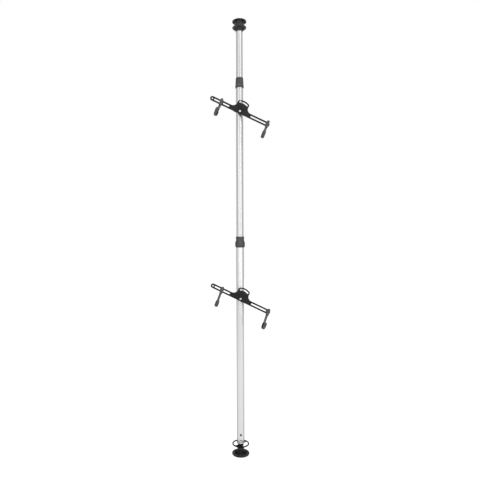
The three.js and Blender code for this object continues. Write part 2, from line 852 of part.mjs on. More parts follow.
const clampHeight = clampBandTop - clampBandBottom;
const clampOuter = clampBore + clampWall;
const clampEarAngle = THREE.MathUtils.radToDeg(Math.asin(clampEarDepth / clampOuter));
const clampSeatAngle = THREE.MathUtils.radToDeg(Math.acos(clampSeatHalfWidth / clampOuter));
const partingAngle = THREE.MathUtils.radToDeg(Math.asin(clampPartingHalf / clampBore));
const clampBoltHeights = [clampBandBottom + clampBoltInset, clampBandTop - clampBoltInset];
const spineBack = clampBore + linerLipHeight + runningGap;
const lockBoltX = arcSlotRadius * Math.sin(THREE.MathUtils.degToRad(lockBoltAngle));
const lockBoltZ = arcSlotRadius * Math.cos(THREE.MathUtils.degToRad(lockBoltAngle));

// The tapered spine behind the plate, round the pivot bolt and the lock bolt
function spineOutline() {
  const lean = 90 - lockBoltAngle;
  const narrowing = (clampSpineFootRadius - clampSpineHeadRadius) / arcSlotRadius;
  const side = 90 - THREE.MathUtils.radToDeg(Math.asin(narrowing));
  return [
    ...arcPoints(lockBoltX, lockBoltZ, clampSpineHeadRadius, lean - side, lean + side, slotEndSteps),
    ...arcPoints(0, 0, clampSpineFootRadius, lean + side, lean + 360 - side, barEndSteps),
  ];
}

function clampFront() {
  const outline = [
    point(-clampEarReach, -clampPartingHalf),
    point(-clampEarReach, -clampEarDepth),
    ...arcPoints(0, 0, clampOuter, 180 + clampEarAngle, 180 + clampSeatAngle, cornerSteps),
    point(-clampSeatHalfWidth, -clampSeatDepth),
    point(clampSeatHalfWidth, -clampSeatDepth),
    ...arcPoints(0, 0, clampOuter, -clampSeatAngle, -clampEarAngle, cornerSteps),
    point(clampEarReach, -clampEarDepth),
    point(clampEarReach, -clampPartingHalf),
    ...arcPoints(0, 0, clampBore, -partingAngle, partingAngle - 180, roundSteps / 2),
  ];
  const spine = extrudedForwards(spineOutline(), spineBack, clampSeatDepth);
  let body = raised(outline, clampBandBottom, clampHeight).add(spine);
  const tappedRadius = holderBoltRadius + seatGap;
  const tappedFloor = clampSeatDepth - holderBoltReach - seatGap;
  for (const hole of [point(0, 0), point(lockBoltX, lockBoltZ)]) {
    body = body.subtract(rodForwards(hole.x, hole.y, tappedRadius, tappedFloor, clampSeatDepth + cutOverrun));
  }
  const pocketFront = clampPocketFlange - clampSeatDepth;
  for (const side of [-1, 1]) {
    for (const z of clampBoltHeights) {
      body = body.subtract(rodForwards(
        side * clampBoltOffset, z, clampBoltRadius + seatGap, -cutOverrun, clampEarDepth - clampBoltRadius,
        smallBoltSteps,
      ));
    }
    const near = side * (clampSeatHalfWidth - clampPocketDepth);
    const far = side * (clampSeatHalfWidth + cutOverrun);
    body = body.subtract(boxBetween(
      new THREE.Vector3(Math.min(near, far), pocketFront, clampBandBottom + clampPocketFlange),
      new THREE.Vector3(Math.max(near, far), pocketFront + clampPocketWidth, clampBandTop - clampPocketFlange),
    ));
  }
  return body;
}

function clampBack() {
  const outline = [
    point(clampEarReach, clampPartingHalf),
    point(clampEarReach, clampEarDepth),
    ...arcPoints(0, 0, clampOuter, clampEarAngle, 180 - clampEarAngle, roundSteps / 2),
    point(-clampEarReach, clampEarDepth),
    point(-clampEarReach, clampPartingHalf),
    ...arcPoints(0, 0, clampBore, 180 - partingAngle, partingAngle, roundSteps / 2),
  ];
  let shell = raised(outline, clampBandBottom, clampHeight);
  for (const side of [-1, 1]) {
    for (const z of clampBoltHeights) {
      const x = side * clampBoltOffset;
      shell = shell.subtract(rodForwards(
        x, z, clampBoltRadius + seatGap, -clampEarDepth - cutOverrun, cutOverrun, smallBoltSteps,
      ));
      shell = shell.subtract(rodForwards(
        x, z, clampBoltHeadRadius + seatGap, -clampEarDepth - clampBoltHeadThickness * 2, -clampEarDepth,
      ));
    }
  }
  return shell;
}

function clampBolt(side, z) {
  const seat = clampEarDepth + seatGap;
  const x = side * clampBoltOffset;
  const head = rodForwards(x, z, clampBoltHeadRadius, -seat - clampBoltHeadThickness, -seat);
  const shank = rodForwards(
    x, z, clampBoltRadius, -seat - clampBoltHeadThickness / 2, clampBoltReach - seatGap, smallBoltSteps,
  );
  return head.add(shank);
}

// Hexagon bolt with a washer face, through the plate into the clamp's spine
function holderBolt(x, z) {
  const seat = plateFront + seatGap;
  const corner = holderBoltHeadAcross / Math.sqrt(3);
  const washerFront = seat + holderWasherThickness;
  const washer = rodForwards(x, z, holderWasherRadius, seat, washerFront, boltSteps + holderBoltSides);
  const headBack = washerFront - holderWasherThickness / 2;
  const headFront = washerFront + holderBoltHeadThickness;
  const head = extrudedForwards(circle(x, z, corner, holderBoltSides), headBack, headFront);
  const shank = rodForwards(x, z, holderBoltRadius, clampSeatDepth - holderBoltReach, washerFront);
  return washer.add(head).add(shank);
}

// Sheet-steel plate: a long bar with a humped head, cut by slots
function stadium(from, to, half) {
  const leftEnd = arcPoints(from, 0, half, 90, 270, slotEndSteps);
  const rightEnd = arcPoints(to, 0, half, -90, 90, slotEndSteps);
  return [...leftEnd, ...rightEnd];
}

// The rounded end of the arc slot, without its first and last points
function slotEnd(x, z, fromAngle) {
  return arcPoints(x, z, arcSlotHalfWidth, fromAngle, fromAngle + 180, slotEndSteps).slice(1, -1);
}

function holderPlate() {
  const reach = THREE.MathUtils.degToRad(plateTiltReach);
  const earX = arcSlotRadius * Math.sin(reach);
  const earZ = arcSlotRadius * Math.cos(reach);
  const filletZ = barHalfWidth + headFilletRadius;
  const apart = headFilletRadius + headEarRadius;
  const filletX = earX + Math.sqrt(apart * apart - (filletZ - earZ) * (filletZ - earZ));
  const meet = THREE.MathUtils.radToDeg(Math.atan2(filletZ - earZ, filletX - earX));
  const rightSide = [
    ...arcPoints(endHoleOffset, 0, barHalfWidth, -90, 90, barEndSteps),
    ...arcPoints(filletX, filletZ, headFilletRadius, 270, 180 + meet, filletSteps),
    ...arcPoints(earX, earZ, headEarRadius, meet, 90 - plateTiltReach, cornerSteps).slice(1),
  ];
  const crownRadius = arcSlotRadius + headEarRadius;
  const crown = arcPoints(0, 0, crownRadius, 90 - plateTiltReach, 90, arcSlotSteps / 2).slice(1);
  const half = [...rightSide, ...crown];
  const mirrored = half.slice(0, -1).reverse().map((corner) => point(-corner.x, corner.y));
  const inner = arcSlotRadius - arcSlotHalfWidth;
  const outer = arcSlotRadius + arcSlotHalfWidth;
  const arcSlot = [
    ...arcPoints(0, 0, outer, 90 - plateTiltReach, 90 + plateTiltReach, arcSlotSteps),
    ...slotEnd(-earX, earZ, 90 + plateTiltReach),
    ...arcPoints(0, 0, inner, 90 + plateTiltReach, 90 - plateTiltReach, arcSlotSteps),
    ...slotEnd(earX, earZ, 270 - plateTiltReach),
  ];
  return extrudedForwards([...half, ...mirrored], plateStandOff, plateFront, [
    circle(0, 0, holderBoltRadius + runningGap, boltSteps),
    circle(-endHoleOffset, 0, endHoleRadius, boltSteps),
    circle(endHoleOffset, 0, endHoleRadius, boltSteps),
    stadium(-slotOuter, -slotInner, slotHalfWidth),
    stadium(slotInner, slotOuter, slotHalfWidth),
    arcSlot,
  ]);
}

function bendSteps(turn) {
  return Math.max(fewestBendSteps, Math.round(Math.abs(turn) / bendDegreesPerStep));
}

// The side view of a bent strap: its middle line as straight runs and bends
function bentLine(startX, startY, startHeading, moves) {
  const line = [{ x: startX, y: startY, heading: startHeading }];
  let [x, y, heading] = [startX, startY, startHeading];
  for (const move of moves) {
    const angle = THREE.MathUtils.degToRad(heading);
    if (move.ahead) {
      x += move.ahead * Math.cos(angle);
      y += move.ahead * Math.sin(angle);
      line.push({ x, y, heading });
      continue;
    }
    const side = Math.sign(move.turn);
    const centreX = x - side * move.radius * Math.sin(angle);
    const centreY = y + side * move.radius * Math.cos(angle);
    const steps = bendSteps(move.turn);
    for (let i = 1; i <= steps; i++) {
      const now = THREE.MathUtils.degToRad(heading + move.turn * i / steps);
      line.push({
        x: centreX + side * move.radius * Math.sin(now),
        y: centreY - side * move.radius * Math.cos(now),
        heading: heading + move.turn * i / steps,
      });
    }
    heading += move.turn;
    x = line.at(-1).x;
    y = line.at(-1).y;
  }
  return line;
}

// The outline of a band round a bent line, from one distance left of it to one right of it
function bandOutline(line, left, right) {
  const beside = (stop, distance) => {
    const angle = THREE.MathUtils.degToRad(stop.heading + 90);
    return point(stop.x + distance * Math.cos(angle), stop.y + distance * Math.sin(angle));
  };
  const leftSide = line.map((stop) => beside(stop, left));
  const rightSide = line.map((stop) => beside(stop, -right));
  return [...leftSide, ...rightSide.reverse()];
}

const cradleSide = { radius: cradleRadius, turn: 180 };
const strapLine = bentLine(hookBack + strapBackDepth, 0, -90, [
  { ahead: hookBlockBelow },
  { radius: strapBendRadius, turn: strapBendAngle },
  { ahead: strapSlope },
  { radius: strapBendRadius, turn: -strapBendAngle },
  cradleSide,
  { ahead: cradleLip },
]);

function strap(width, half) {
  const tip = strapLine.at(-1);
  const band = extrudedSideways(bandOutline(strapLine, half, half), width);
  const end = extrudedSideways(arcPoints(tip.x, tip.y, half, 0, 180, cornerSteps + 1), width);
  return band.add(end);
}

// A hook: a block on the plate with a bent strap that ends in a cradle
function hook() {
  const round = hookBlockHalfWidth;
  const outline = [
    point(-round, -hookBlockBelow),
    point(round, -hookBlockBelow),
    ...arcPoints(0, hookBlockAbove - round, round, 0, 180, barEndSteps),
  ];
  const block = extrudedForwards(outline, hookBack, hookBack + hookBlockDepth);
  const studFloor = hookBack + hookStudDepth + seatGap;
  const studHole = rodForwards(0, 0, hookStudRadius + seatGap, hookBack - cutOverrun, studFloor);
  return block.add(strap(strapWidth, strapHalf)).subtract(studHole);
}

// A rubber saddle in the cradle, which wraps the strap's edges
function hookPad() {
  const cradleStart = strapLine[2 + 2 * bendSteps(strapBendAngle)];
  const line = bentLine(cradleStart.x, cradleStart.y + padBackLength, -90, [
    { ahead: padBackLength },
    cradleSide,
    { ahead: padLipLength },
  ]);
  const outline = bandOutline(line, strapHalf + seatGap + padThickness, padWrap - strapHalf);
  const saddle = extrudedSideways(outline, padWidth);
  return saddle.subtract(strap(strapWidth + seatGap * 2, strapHalf + seatGap));
}

// A lobed knob behind the plate, with the stud that draws the hook against it
function hookKnob() {
  const back = plateStandOff - seatGap;
  const lobed = [];
  const steps = knobLobes * lobeSteps;
  for (let i = 0; i < steps; i++) {
    const angle = 2 * Math.PI * i / steps;
    const radius = knobRadius + knobLobe * Math.cos(knobLobes * angle);
    lobed.push(point(radius * Math.cos(angle), radius * Math.sin(angle)));
  }
  const collar = rodForwards(0, 0, knobCollarRadius, back - knobCollarHeight - seatGap, back);
  const grip = extrudedForwards(lobed, back - knobCollarHeight - knobThickness, back - knobCollarHeight);
  const stud = rodForwards(0, 0, hookStudRadius, back - knobCollarHeight - seatGap, hookBack + hookStudDepth);
  return grip.add(collar).add(stud);
}

// One holder: clamp round the tube, tilted plate, two hooks with pads and knobs
function holder(prefix, tubeRadius, pivotHeight) {
  const group = new THREE.Group();
  group.position.z = pivotHeight;
  group.add(mesh(`${prefix}_clamp_liner`, clampLiner(tubeRadius), rubber));
  group.add(mesh(`${prefix}_clamp_front`, clampFront(), blackPlastic));
  group.add(mesh(`${prefix}_clamp_back`, clampBack(), blackPlastic));
  const corners = { bottom: clampBoltHeights[0], top: clampBoltHeights[1] };
  for (const [row, z] of Object.entries(corners)) {
    group.add(mesh(`${prefix}_clamp_bolt_left_${row}`, clampBolt(-1, z), zinc));
    group.add(mesh(`${prefix}_clamp_bolt_right_${row}`, clampBolt(1, z), zinc));
  }
  group.add(mesh(`${prefix}_pivot_bolt`, holderBolt(0, 0), zinc));
  group.add(mesh(`${prefix}_lock_bolt`, holderBolt(lockBoltX, lockBoltZ), zinc));
  const tilted = new THREE.Group();
  tilted.rotation.y = THREE.MathUtils.degToRad(plateTilt);
  tilted.add(mesh(`${prefix}_holder_plate`, holderPlate(), blackSteel));
  const hooks = { left: leftHookPlace, right: endHoleOffset };
  for (const [side, place] of Object.entries(hooks)) {
    const arm = new THREE.Group();
    arm.position.x = place;
    arm.rotation.y = THREE.MathUtils.degToRad(hookTurn);
    arm.add(mesh(`${prefix}_${side}_hook`, hook(), blackSteel));
    arm.add(mesh(`${prefix}_${side}_hook_pad`, hookPad(), rubber));
    arm.add(mesh(`${prefix}_${side}_hook_knob`, hookKnob(), blackPlastic));
    tilted.add(arm);
  }
  group.add(tilted);
  return group;
}

const tower = new THREE.Group();
tower.add(mesh('floor_pad', floorPad(), rubber));
tower.add(mesh('foot_base', footBase(), blackPlastic));
tower.add(mesh('tension_spindle', tensionSpindle(), zinc));
tower.add(mesh('spindle_cap', spindleCap(), blackPlastic));
tower.add(mesh('handwheel_hub', handwheelHub(), blackPlastic));
tower.add(mesh('handwheel_nut', handwheelNut(), brass));
tower.add(mesh('handwheel_ring', handwheelRing(), blackSteel));
tower.add(mesh('thrust_washer', thrustWasher(), nylon));
tower.add(mesh('lower_end_plug', endPlug(), blackPlastic));
tower.add(mesh('end_plug_screw', endPlugScrew(), zinc));
tower.add(mesh('lower_tube', lowerTube(), aluminium));
tower.add(mesh('lower_lock_sleeve', lockSleeve(
  lowerTubeRadius, lowerTubeTop, lowerSleeveWall, lowerSleeveOverlap, lowerSleeveLip,
), nylon));
tower.add(mesh('lower_lock_collet', lockCollet(
  lowerTubeRadius, lowerColletBottom, lowerColletHeight, lowerColletOuter, lowerColletTaper,
), nylon));
tower.add(mesh('lower_twist_collar', lowerCollar(), blackPlastic));
tower.add(mesh('middle_tube', flutedTube(middleTubeRadius, middleTubeBottom, middleTubeLength), aluminium));
tower.add(mesh('middle_tube_glide', glide(middleTubeRadius, middleTubeBottom), nylon));
tower.add(mesh('upper_lock_sleeve', lockSleeve(
  middleTubeRadius, middleTubeTop, upperSleeveWall, upperSleeveOverlap, upperSleeveLip,
), nylon));
tower.add(mesh('upper_lock_collet', lockCollet(
  middleTubeRadius, upperColletBottom, upperColletHeight, upperColletOuter, upperColletTaper,
), nylon));
tower.add(mesh('upper_twist_collar', upperCollar(), blackPlastic));
tower.add(mesh('upper_tube', flutedTube(upperTubeRadius, upperTubeBottom, upperTubeLength), aluminium));
tower.add(mesh('upper_tube_glide', glide(upperTubeRadius, upperTubeBottom), nylon));
tower.add(mesh('top_cap', topCap(), blackPlastic));
tower.add(mesh('ceiling_plate', ceilingPlate(), blackPlastic));
tower.add(mesh('ceiling_screw', ceilingScrew(), zinc));
tower.add(mesh('ceiling_pad', ceilingPad(), rubber));
tower.add(holder('lower', lowerTubeRadius, lowerPivotHeight));
tower.add(holder('upper', middleTubeRadius, upperPivotHeight));

export default tower;
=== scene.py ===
import math
from types import SimpleNamespace
import bmesh
import bpy
from mathutils import Matrix, Vector


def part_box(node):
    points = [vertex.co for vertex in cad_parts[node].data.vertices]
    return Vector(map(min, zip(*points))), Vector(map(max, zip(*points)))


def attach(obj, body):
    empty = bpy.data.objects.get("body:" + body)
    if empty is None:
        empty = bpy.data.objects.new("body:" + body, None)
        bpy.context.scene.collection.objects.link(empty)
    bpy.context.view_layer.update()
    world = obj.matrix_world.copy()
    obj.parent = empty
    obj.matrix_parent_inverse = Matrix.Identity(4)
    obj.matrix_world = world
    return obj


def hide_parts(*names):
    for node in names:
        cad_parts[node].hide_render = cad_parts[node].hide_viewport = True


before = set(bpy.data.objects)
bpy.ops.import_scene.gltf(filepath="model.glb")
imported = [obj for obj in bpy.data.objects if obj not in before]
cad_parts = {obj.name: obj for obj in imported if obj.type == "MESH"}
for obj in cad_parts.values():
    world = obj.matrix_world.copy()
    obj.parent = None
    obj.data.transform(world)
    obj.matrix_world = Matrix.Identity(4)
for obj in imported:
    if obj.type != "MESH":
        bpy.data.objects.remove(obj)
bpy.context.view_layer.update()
print("frame loaded")

# lengths are millimetres until a piece is finished, as on the drawing
metresPerMm = 0.001
weld = 0.002
seatGap = 0.3
pivotHeight = {"lower": 1082, "upper": 2362}
plateTilt = 25.7
leftHookPlace = -141
rightHookPlace = 207.5
hookTurn = -4
lockBoltAngle = 2.5
lockBoltRadius = 62.5


def boxOf(node):
    low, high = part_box(node)
    return low / metresPerMm, high / metresPerMm


# Materials

def newGroup(name, dial, usual, *outputs):
    # takes the place on the piece and one dial, and gives plain values
    group = bpy.data.node_groups.new(name, "ShaderNodeTree")
    group.interface.new_socket(name="Vector", in_out="INPUT", socket_type="NodeSocketVector")
    socket = group.interface.new_socket(name=dial, in_out="INPUT", socket_type="NodeSocketFloat")
    socket.default_value = usual
    for label in outputs:
        group.interface.new_socket(name=label, in_out="OUTPUT", socket_type="NodeSocketFloat")
    return group, group.nodes.new("NodeGroupInput"), group.nodes.new("NodeGroupOutput")


def mathNode(tree, operation, *values):
    node = tree.nodes.new("ShaderNodeMath")
    node.operation = operation
    for socket, value in zip(node.inputs, values):
        if isinstance(value, float):
            socket.default_value = value
        else:
            tree.links.new(value, socket)
    return node.outputs["Value"]


def stretchedNoise(group, start, detail, stretch=(1, 1, 1)):
    mapping = group.nodes.new("ShaderNodeMapping")
    mapping.inputs["Scale"].default_value = stretch
    noise = group.nodes.new("ShaderNodeTexNoise")
    noise.inputs["Detail"].default_value = detail
    group.links.new(start.outputs["Vector"], mapping.inputs["Vector"])
    group.links.new(mapping.outputs["Vector"], noise.inputs["Vector"])
    group.links.new(start.outputs["Scale"], noise.inputs["Scale"])
    return noise.outputs["Fac"]


def spread(group, value, fromLow, fromHigh):
    remap = group.nodes.new("ShaderNodeMapRange")
    remap.inputs["From Min"].default_value = fromLow
    remap.inputs["From Max"].default_value = fromHigh
    group.links.new(value, remap.inputs["Value"])
    return remap.outputs["Result"]


def makeMottle():
    # slow uneven patches, as handling and moulding leave them
    group, start, end = newGroup("mottle", "Scale", 30.0, "Mask")
    group.links.new(spread(group, stretchedNoise(group, start, 4), 0.32, 0.68), end.inputs["Mask"])
    return group


def makeGrain():
    # fine even grain of moulded or powder-coated skin
    group, start, end = newGroup("grain", "Scale", 900.0, "Height")
    group.links.new(stretchedNoise(group, start, 2), end.inputs["Height"])
    return group


def makeDrawnLines():
    # hair lines along the pole, left by the die
    group, start, end = newGroup("drawnLines", "Scale", 1.0, "Height", "Mask")
    bands = stretchedNoise(group, start, 2, (90, 90, 0.6))
    group.links.new(stretchedNoise(group, start, 3, (700, 700, 1.5)), end.inputs["Height"])
    group.links.new(spread(group, bands, 0.35, 0.65), end.inputs["Mask"])
    return group


def makeDust():
    # a little dust where the surface looks up
    group, start, end = newGroup("dust", "Amount", 0.1, "Mask")
    geometry = group.nodes.new("ShaderNodeNewGeometry")
    split = group.nodes.new("ShaderNodeSeparateXYZ")
    specks = group.nodes.new("ShaderNodeTexNoise")
    specks.inputs["Scale"].default_value = 260
    specks.inputs["Detail"].default_value = 5
    group.links.new(geometry.outputs["Normal"], split.inputs["Vector"])
    group.links.new(start.outputs["Vector"], specks.inputs["Vector"])
    upwards = spread(group, split.outputs["Z"], 0.5, 1.0)
    speckled = mathNode(group, "MULTIPLY", upwards, spread(group, specks.outputs["Fac"], 0.42, 0.62))
    group.links.new(mathNode(group, "MULTIPLY", speckled, start.outputs["Amount"]), end.inputs["Mask"])
    return group


def makeFluteShadeMask():
    # 1 on the floor of a flute, 0 on the round of the tube: where painted shade goes in the flutes
    group, start, end = newGroup("flute", "Radius", 0.025, "Mask")
    level = group.nodes.new("ShaderNodeVectorMath")
    level.operation = "MULTIPLY"
    level.inputs[1].default_value = (1, 1, 0)
    reach = group.nodes.new("ShaderNodeVectorMath")
    reach.operation = "LENGTH"
    group.links.new(start.outputs["Vector"], level.inputs[0])
    group.links.new(level.outputs["Vector"], reach.inputs[0])
    depth = mathNode(group, "SUBTRACT", start.outputs["Radius"], reach.outputs["Value"])
    group.links.new(spread(group, depth, 0.0001, 0.0006), end.inputs["Mask"])
    return group


def grey(level, blue=0.0):
    # equal red and green, with a little more or less blue
    return level, level, level + blue


groups = {
    "mottle": makeMottle(), "grain": makeGrain(), "lines": makeDrawnLines(), "dust": makeDust(),
    "flute": makeFluteShadeMask(),
}
dustColour = (0.32, 0.31, 0.29)
bumpDistance = 0.0004
finishes = {
    "padRubber": dict(dark=grey(0.012), light=grey(0.024), rough=(0.7, 0.85),
                      shine=0.2, mottle=40, grain=1400, depth=0.25, dust=0.12),
    "footPlastic": dict(dark=grey(0.01, 0.0005), light=grey(0.019, 0.001),
                        rough=(0.4, 0.52), shine=0.2, mottle=28, grain=1100, depth=0.12, dust=0.3),
    # painted highlight: a lighter copy of the black plastic, standing in for the light falling on the
    # handwheel's flange
    "hubPlasticPaintedLit": dict(dark=grey(0.034, 0.001), light=grey(0.056, 0.001),
                       rough=(0.42, 0.54), shine=0.25, mottle=40, grain=1300, depth=0.14, dust=0.05),
    "topPlastic": dict(dark=grey(0.011, 0.001), light=grey(0.02, 0.001), rough=(0.26, 0.4),
                       shine=0.4, mottle=30, grain=1100, depth=0.1, dust=0.04),
    # collarPlastic's edge colour is painted shade, darkening the collar where it turns away from the view
    "collarPlastic": dict(dark=grey(0.08, 0.001), light=grey(0.115, 0.001), rough=(0.42, 0.54),
                          shine=0.3, mottle=40, grain=1500, depth=0.2, dust=0.02, edge=grey(0.02, 0.001),
                          edgeShadeRange=(0.05, 0.55)),
    "clampPlastic": dict(dark=grey(0.01, 0.001), light=grey(0.018, 0.001), rough=(0.42, 0.56),
                         shine=0.25, mottle=34, grain=1500, depth=0.25, dust=0.04),
    "knobPlastic": dict(dark=grey(0.009, 0.001), light=grey(0.018, 0.001), rough=(0.4, 0.52),
                        shine=0.3, mottle=60, grain=1700, depth=0.2, dust=0.03),
    "linerRubber": dict(dark=grey(0.01), light=grey(0.018), rough=(0.65, 0.8),
                        shine=0.2, mottle=50, grain=1600, depth=0.2, dust=0.05),
    "saddleRubber": dict(dark=grey(0.004, 0.0005), light=grey(0.009, 0.001), rough=(0.5, 0.66),
                         shine=0.2, mottle=70, grain=1700, depth=0.22, dust=0.01),
    "plateCoat": dict(dark=grey(0.005, 0.0005), light=grey(0.011, 0.001), rough=(0.34, 0.46),
                      shine=0.22, mottle=24, grain=800, depth=0.18, dust=0.02),
    "hookCoat": dict(dark=grey(0.055, 0.003), light=grey(0.085, 0.005), rough=(0.3, 0.42),
                     shine=0.5, mottle=30, grain=800, depth=0.18, dust=0.02),
    "rodCoat": dict(dark=grey(0.003, 0.0005), light=grey(0.007, 0.0005), rough=(0.4, 0.5),
                    shine=0.06, mottle=30, grain=800, depth=0.12, dust=0.02),
    "darkSteel": dict(dark=grey(0.018, 0.002), light=grey(0.035, 0.002), metallic=0.5,
                      rough=(0.26, 0.4), shine=0.4, mottle=160, grain=1800, depth=0.1, dust=0),
    "zinc": dict(dark=(0.42, 0.43, 0.44), light=(0.56, 0.57, 0.58), metallic=1, rough=(0.24, 0.42),
                 shine=0.5, mottle=160, grain=1800, depth=0.1, dust=0.0),
    "brassTurned": dict(dark=(0.48, 0.33, 0.12), light=(0.66, 0.48, 0.2), metallic=1, rough=(0.28, 0.42),
                        shine=0.5, mottle=160, grain=1500, depth=0.08, dust=0.0),
    "nylonWhite": dict(dark=grey(0.66, -0.03), light=grey(0.76, -0.02), rough=(0.4, 0.52),
                       shine=0.4, mottle=50, grain=1200, depth=0.1, dust=0.02),
}
# the tubes' edge colour is painted shade towards their sides, and the flute colour is painted shade on the
# floors of the flutes
for name, flute in (("anodised", None), ("anodisedMiddle", 0.025), ("anodisedUpper", 0.023)):
    finishes[name] = dict(dark=(0.62, 0.624, 0.63), light=(0.66, 0.664, 0.67), metallic=0.88,
                          rough=(0.3, 0.33), shine=0.5, mottle=12, depth=0.012, dust=0, lines=1.0,
                          edge=(0.27, 0.273, 0.278), edgeShadeRange=(0.22, 0.72))
    if flute:
        finishes[name].update(flute=flute, fluteColour=(0.4, 0.403, 0.408))


def placeGroup(tree, name, vector, inputs):
    node = tree.nodes.new("ShaderNodeGroup")
    node.node_tree = groups[name]
    tree.links.new(vector, node.inputs["Vector"])
    for label, value in inputs.items():
        node.inputs[label].default_value = value
    return node


def mixColour(tree, mask, first, second):
    mix = tree.nodes.new("ShaderNodeMix")
    mix.data_type = "RGBA"
    tree.links.new(mask, mix.inputs["Factor"])
    for socket, value in ((mix.inputs[6], first), (mix.inputs[7], second)):
        if isinstance(value, tuple):
            socket.default_value = (*value, 1)
        else:
            tree.links.new(value, socket)
    return mix.outputs[2]


def mixValue(tree, mask, low, high):
    remap = tree.nodes.new("ShaderNodeMapRange")
    remap.inputs["To Min"].default_value = low
    remap.inputs["To Max"].default_value = high
    tree.links.new(mask, remap.inputs["Value"])
    return remap.outputs["Result"]


def makeFinish(name, look):
    material = bpy.data.materials.new(name)
    material.use_nodes = True
    tree = material.node_tree
    shader = tree.nodes["Principled BSDF"]
    shader.inputs["Metallic"].default_value = look.get("metallic", 0)
    shader.inputs["Specular IOR Level"].default_value = look["shine"]
    place = tree.nodes.new("ShaderNodeTexCoord").outputs["Object"]
    mottle = placeGroup(tree, "mottle", place, {"Scale": look["mottle"]})
    mask = mottle.outputs["Mask"]
    if "lines" in look:
        drawn = placeGroup(tree, "lines", place, {"Scale": look["lines"]})
        mask = drawn.outputs["Mask"]
        height = drawn.outputs["Height"]
    else:
        height = placeGroup(tree, "grain", place, {"Scale": look["grain"]}).outputs["Height"]
    colour = mixColour(tree, mask, look["dark"], look["light"])
    if look["dust"]:
        dust = placeGroup(tree, "dust", place, {"Amount": look["dust"]})
        colour = mixColour(tree, dust.outputs["Mask"], colour, dustColour)
    # painted shade: the colour turns to the darker edge colour where the surface turns away from the view,
    # standing in for light and reflection falling off at the rims
    if "edge" in look:
        weight = tree.nodes.new("ShaderNodeLayerWeight")
        weight.inputs["Blend"].default_value = 0.5
        edgeShadeMask = spread(tree, weight.outputs["Facing"], *look["edgeShadeRange"])
        colour = mixColour(tree, edgeShadeMask, colour, look["edge"])
    # painted shade: the flute floors take a darker colour
    if "flute" in look:
        sunk = placeGroup(tree, "flute", place, {"Radius": look["flute"]})
        colour = mixColour(tree, sunk.outputs["Mask"], colour, look["fluteColour"])
    tree.links.new(colour, shader.inputs["Base Color"])
    tree.links.new(mixValue(tree, mottle.outputs["Mask"], *look["rough"]), shader.inputs["Roughness"])
    bump = tree.nodes.new("ShaderNodeBump")
    bump.inputs["Strength"].default_value = look["depth"]
    bump.inputs["Distance"].default_value = bumpDistance
    tree.links.new(height, bump.inputs["Height"])
    tree.links.new(bump.outputs["Normal"], shader.inputs["Normal"])
    return material


materials = {name: makeFinish(name, look) for name, look in finishes.items()}
print("materials made")


# Making and placing pieces

def linked(name, data):
    made = bpy.data.objects.new(name, data)
    bpy.context.scene.collection.objects.link(made)
    return made


def finishPiece(name, bm, finish, body, replaced, place=None, sharpAngle=34):
    # a bmesh in millimetres becomes a piece of the object, in metres and in its place
    bmesh.ops.remove_doubles(bm, verts=bm.verts, dist=weld)
    bmesh.ops.delete(bm, geom=[e for e in bm.edges if not e.link_faces], context="EDGES")
    bmesh.ops.recalc_face_normals(bm, faces=bm.faces)
    if place is not None:
        bmesh.ops.transform(bm, matrix=place, verts=bm.verts)
    bmesh.ops.scale(bm, vec=Vector((metresPerMm,) * 3), verts=bm.verts)
    mesh = bpy.data.meshes.new(name)
    bm.to_mesh(mesh)
    bm.free()
    mesh.shade_smooth()
    mesh.set_sharp_from_angle(angle=math.radians(sharpAngle))
    mesh.materials.append(materials[finish])
    piece = linked(name, mesh)
    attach(piece, body)
    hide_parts(*replaced)


def arc(centre, radius, fromAngle, toAngle, steps):
    points = []
    for i in range(steps + 1):
        angle = math.radians(fromAngle + (toAngle - fromAngle) * i / steps)
        points.append((centre[0] + radius * math.cos(angle), centre[1] + radius * math.sin(angle)))
    return points


def wire(bm, points, roundings=()):
    # a closed outline, rounded at each corner that has a rounding
    corners = [bm.verts.new(point) for point in points]
    for a, b in zip(corners, corners[1:] + corners[:1]):
        bm.edges.new((a, b))
    for vertex, radius in zip(corners, roundings):
        if radius:
            bmesh.ops.bevel(bm, geom=[vertex], offset=radius, offset_type="OFFSET", affect="VERTICES",
                            segments=3, profile=0.5, material=-1, clamp_overlap=True)


def profileWire(bm, profile):
    # corners of (radius, height) or (radius, height, rounding)
    wire(bm, [(p[0], 0, p[1]) for p in profile], [p[2] if len(p) > 2 else 0 for p in profile])


def turnedSolid(profile, steps=96):
    bm = bmesh.new()
    profileWire(bm, profile)
    bmesh.ops.spin(bm, geom=bm.verts[:] + bm.edges[:], cent=(0, 0, 0), axis=(0, 0, 1),
                   angle=2 * math.pi, steps=steps, use_merge=True)
    bmesh.ops.remove_doubles(bm, verts=bm.verts, dist=weld)
    bmesh.ops.recalc_face_normals(bm, faces=bm.faces)
    return bm


def sleeve(inner, outer, low, high, rimRound, steps=96):
    # a ring of square section with its outer rims rounded
    return turnedSolid([
        (inner, low), (outer, low, rimRound), (outer, high, rimRound), (inner, high),
    ], steps)


def outlineSolid(outline, depth, holes=(), edgeRound=0.0, segments=2):
    # an outline in x and y, raised by depth, with its rims rounded
    bm = bmesh.new()
    for loop in (outline, *holes):
        wire(bm, [(x, y, 0) for x, y in loop])
    if holes:
        bmesh.ops.triangle_fill(bm, use_beauty=True, use_dissolve=False, edges=bm.edges[:])
    else:
        bm.faces.new(bm.verts[:])
    top = bmesh.ops.extrude_face_region(bm, geom=bm.faces[:])
    raised = [g for g in top["geom"] if isinstance(g, bmesh.types.BMVert)]
    bmesh.ops.translate(bm, vec=(0, 0, depth), verts=raised)
    bmesh.ops.recalc_face_normals(bm, faces=bm.faces)
    if edgeRound:
        bevelSharp(bm, edgeRound, 60, segments)
    return bm


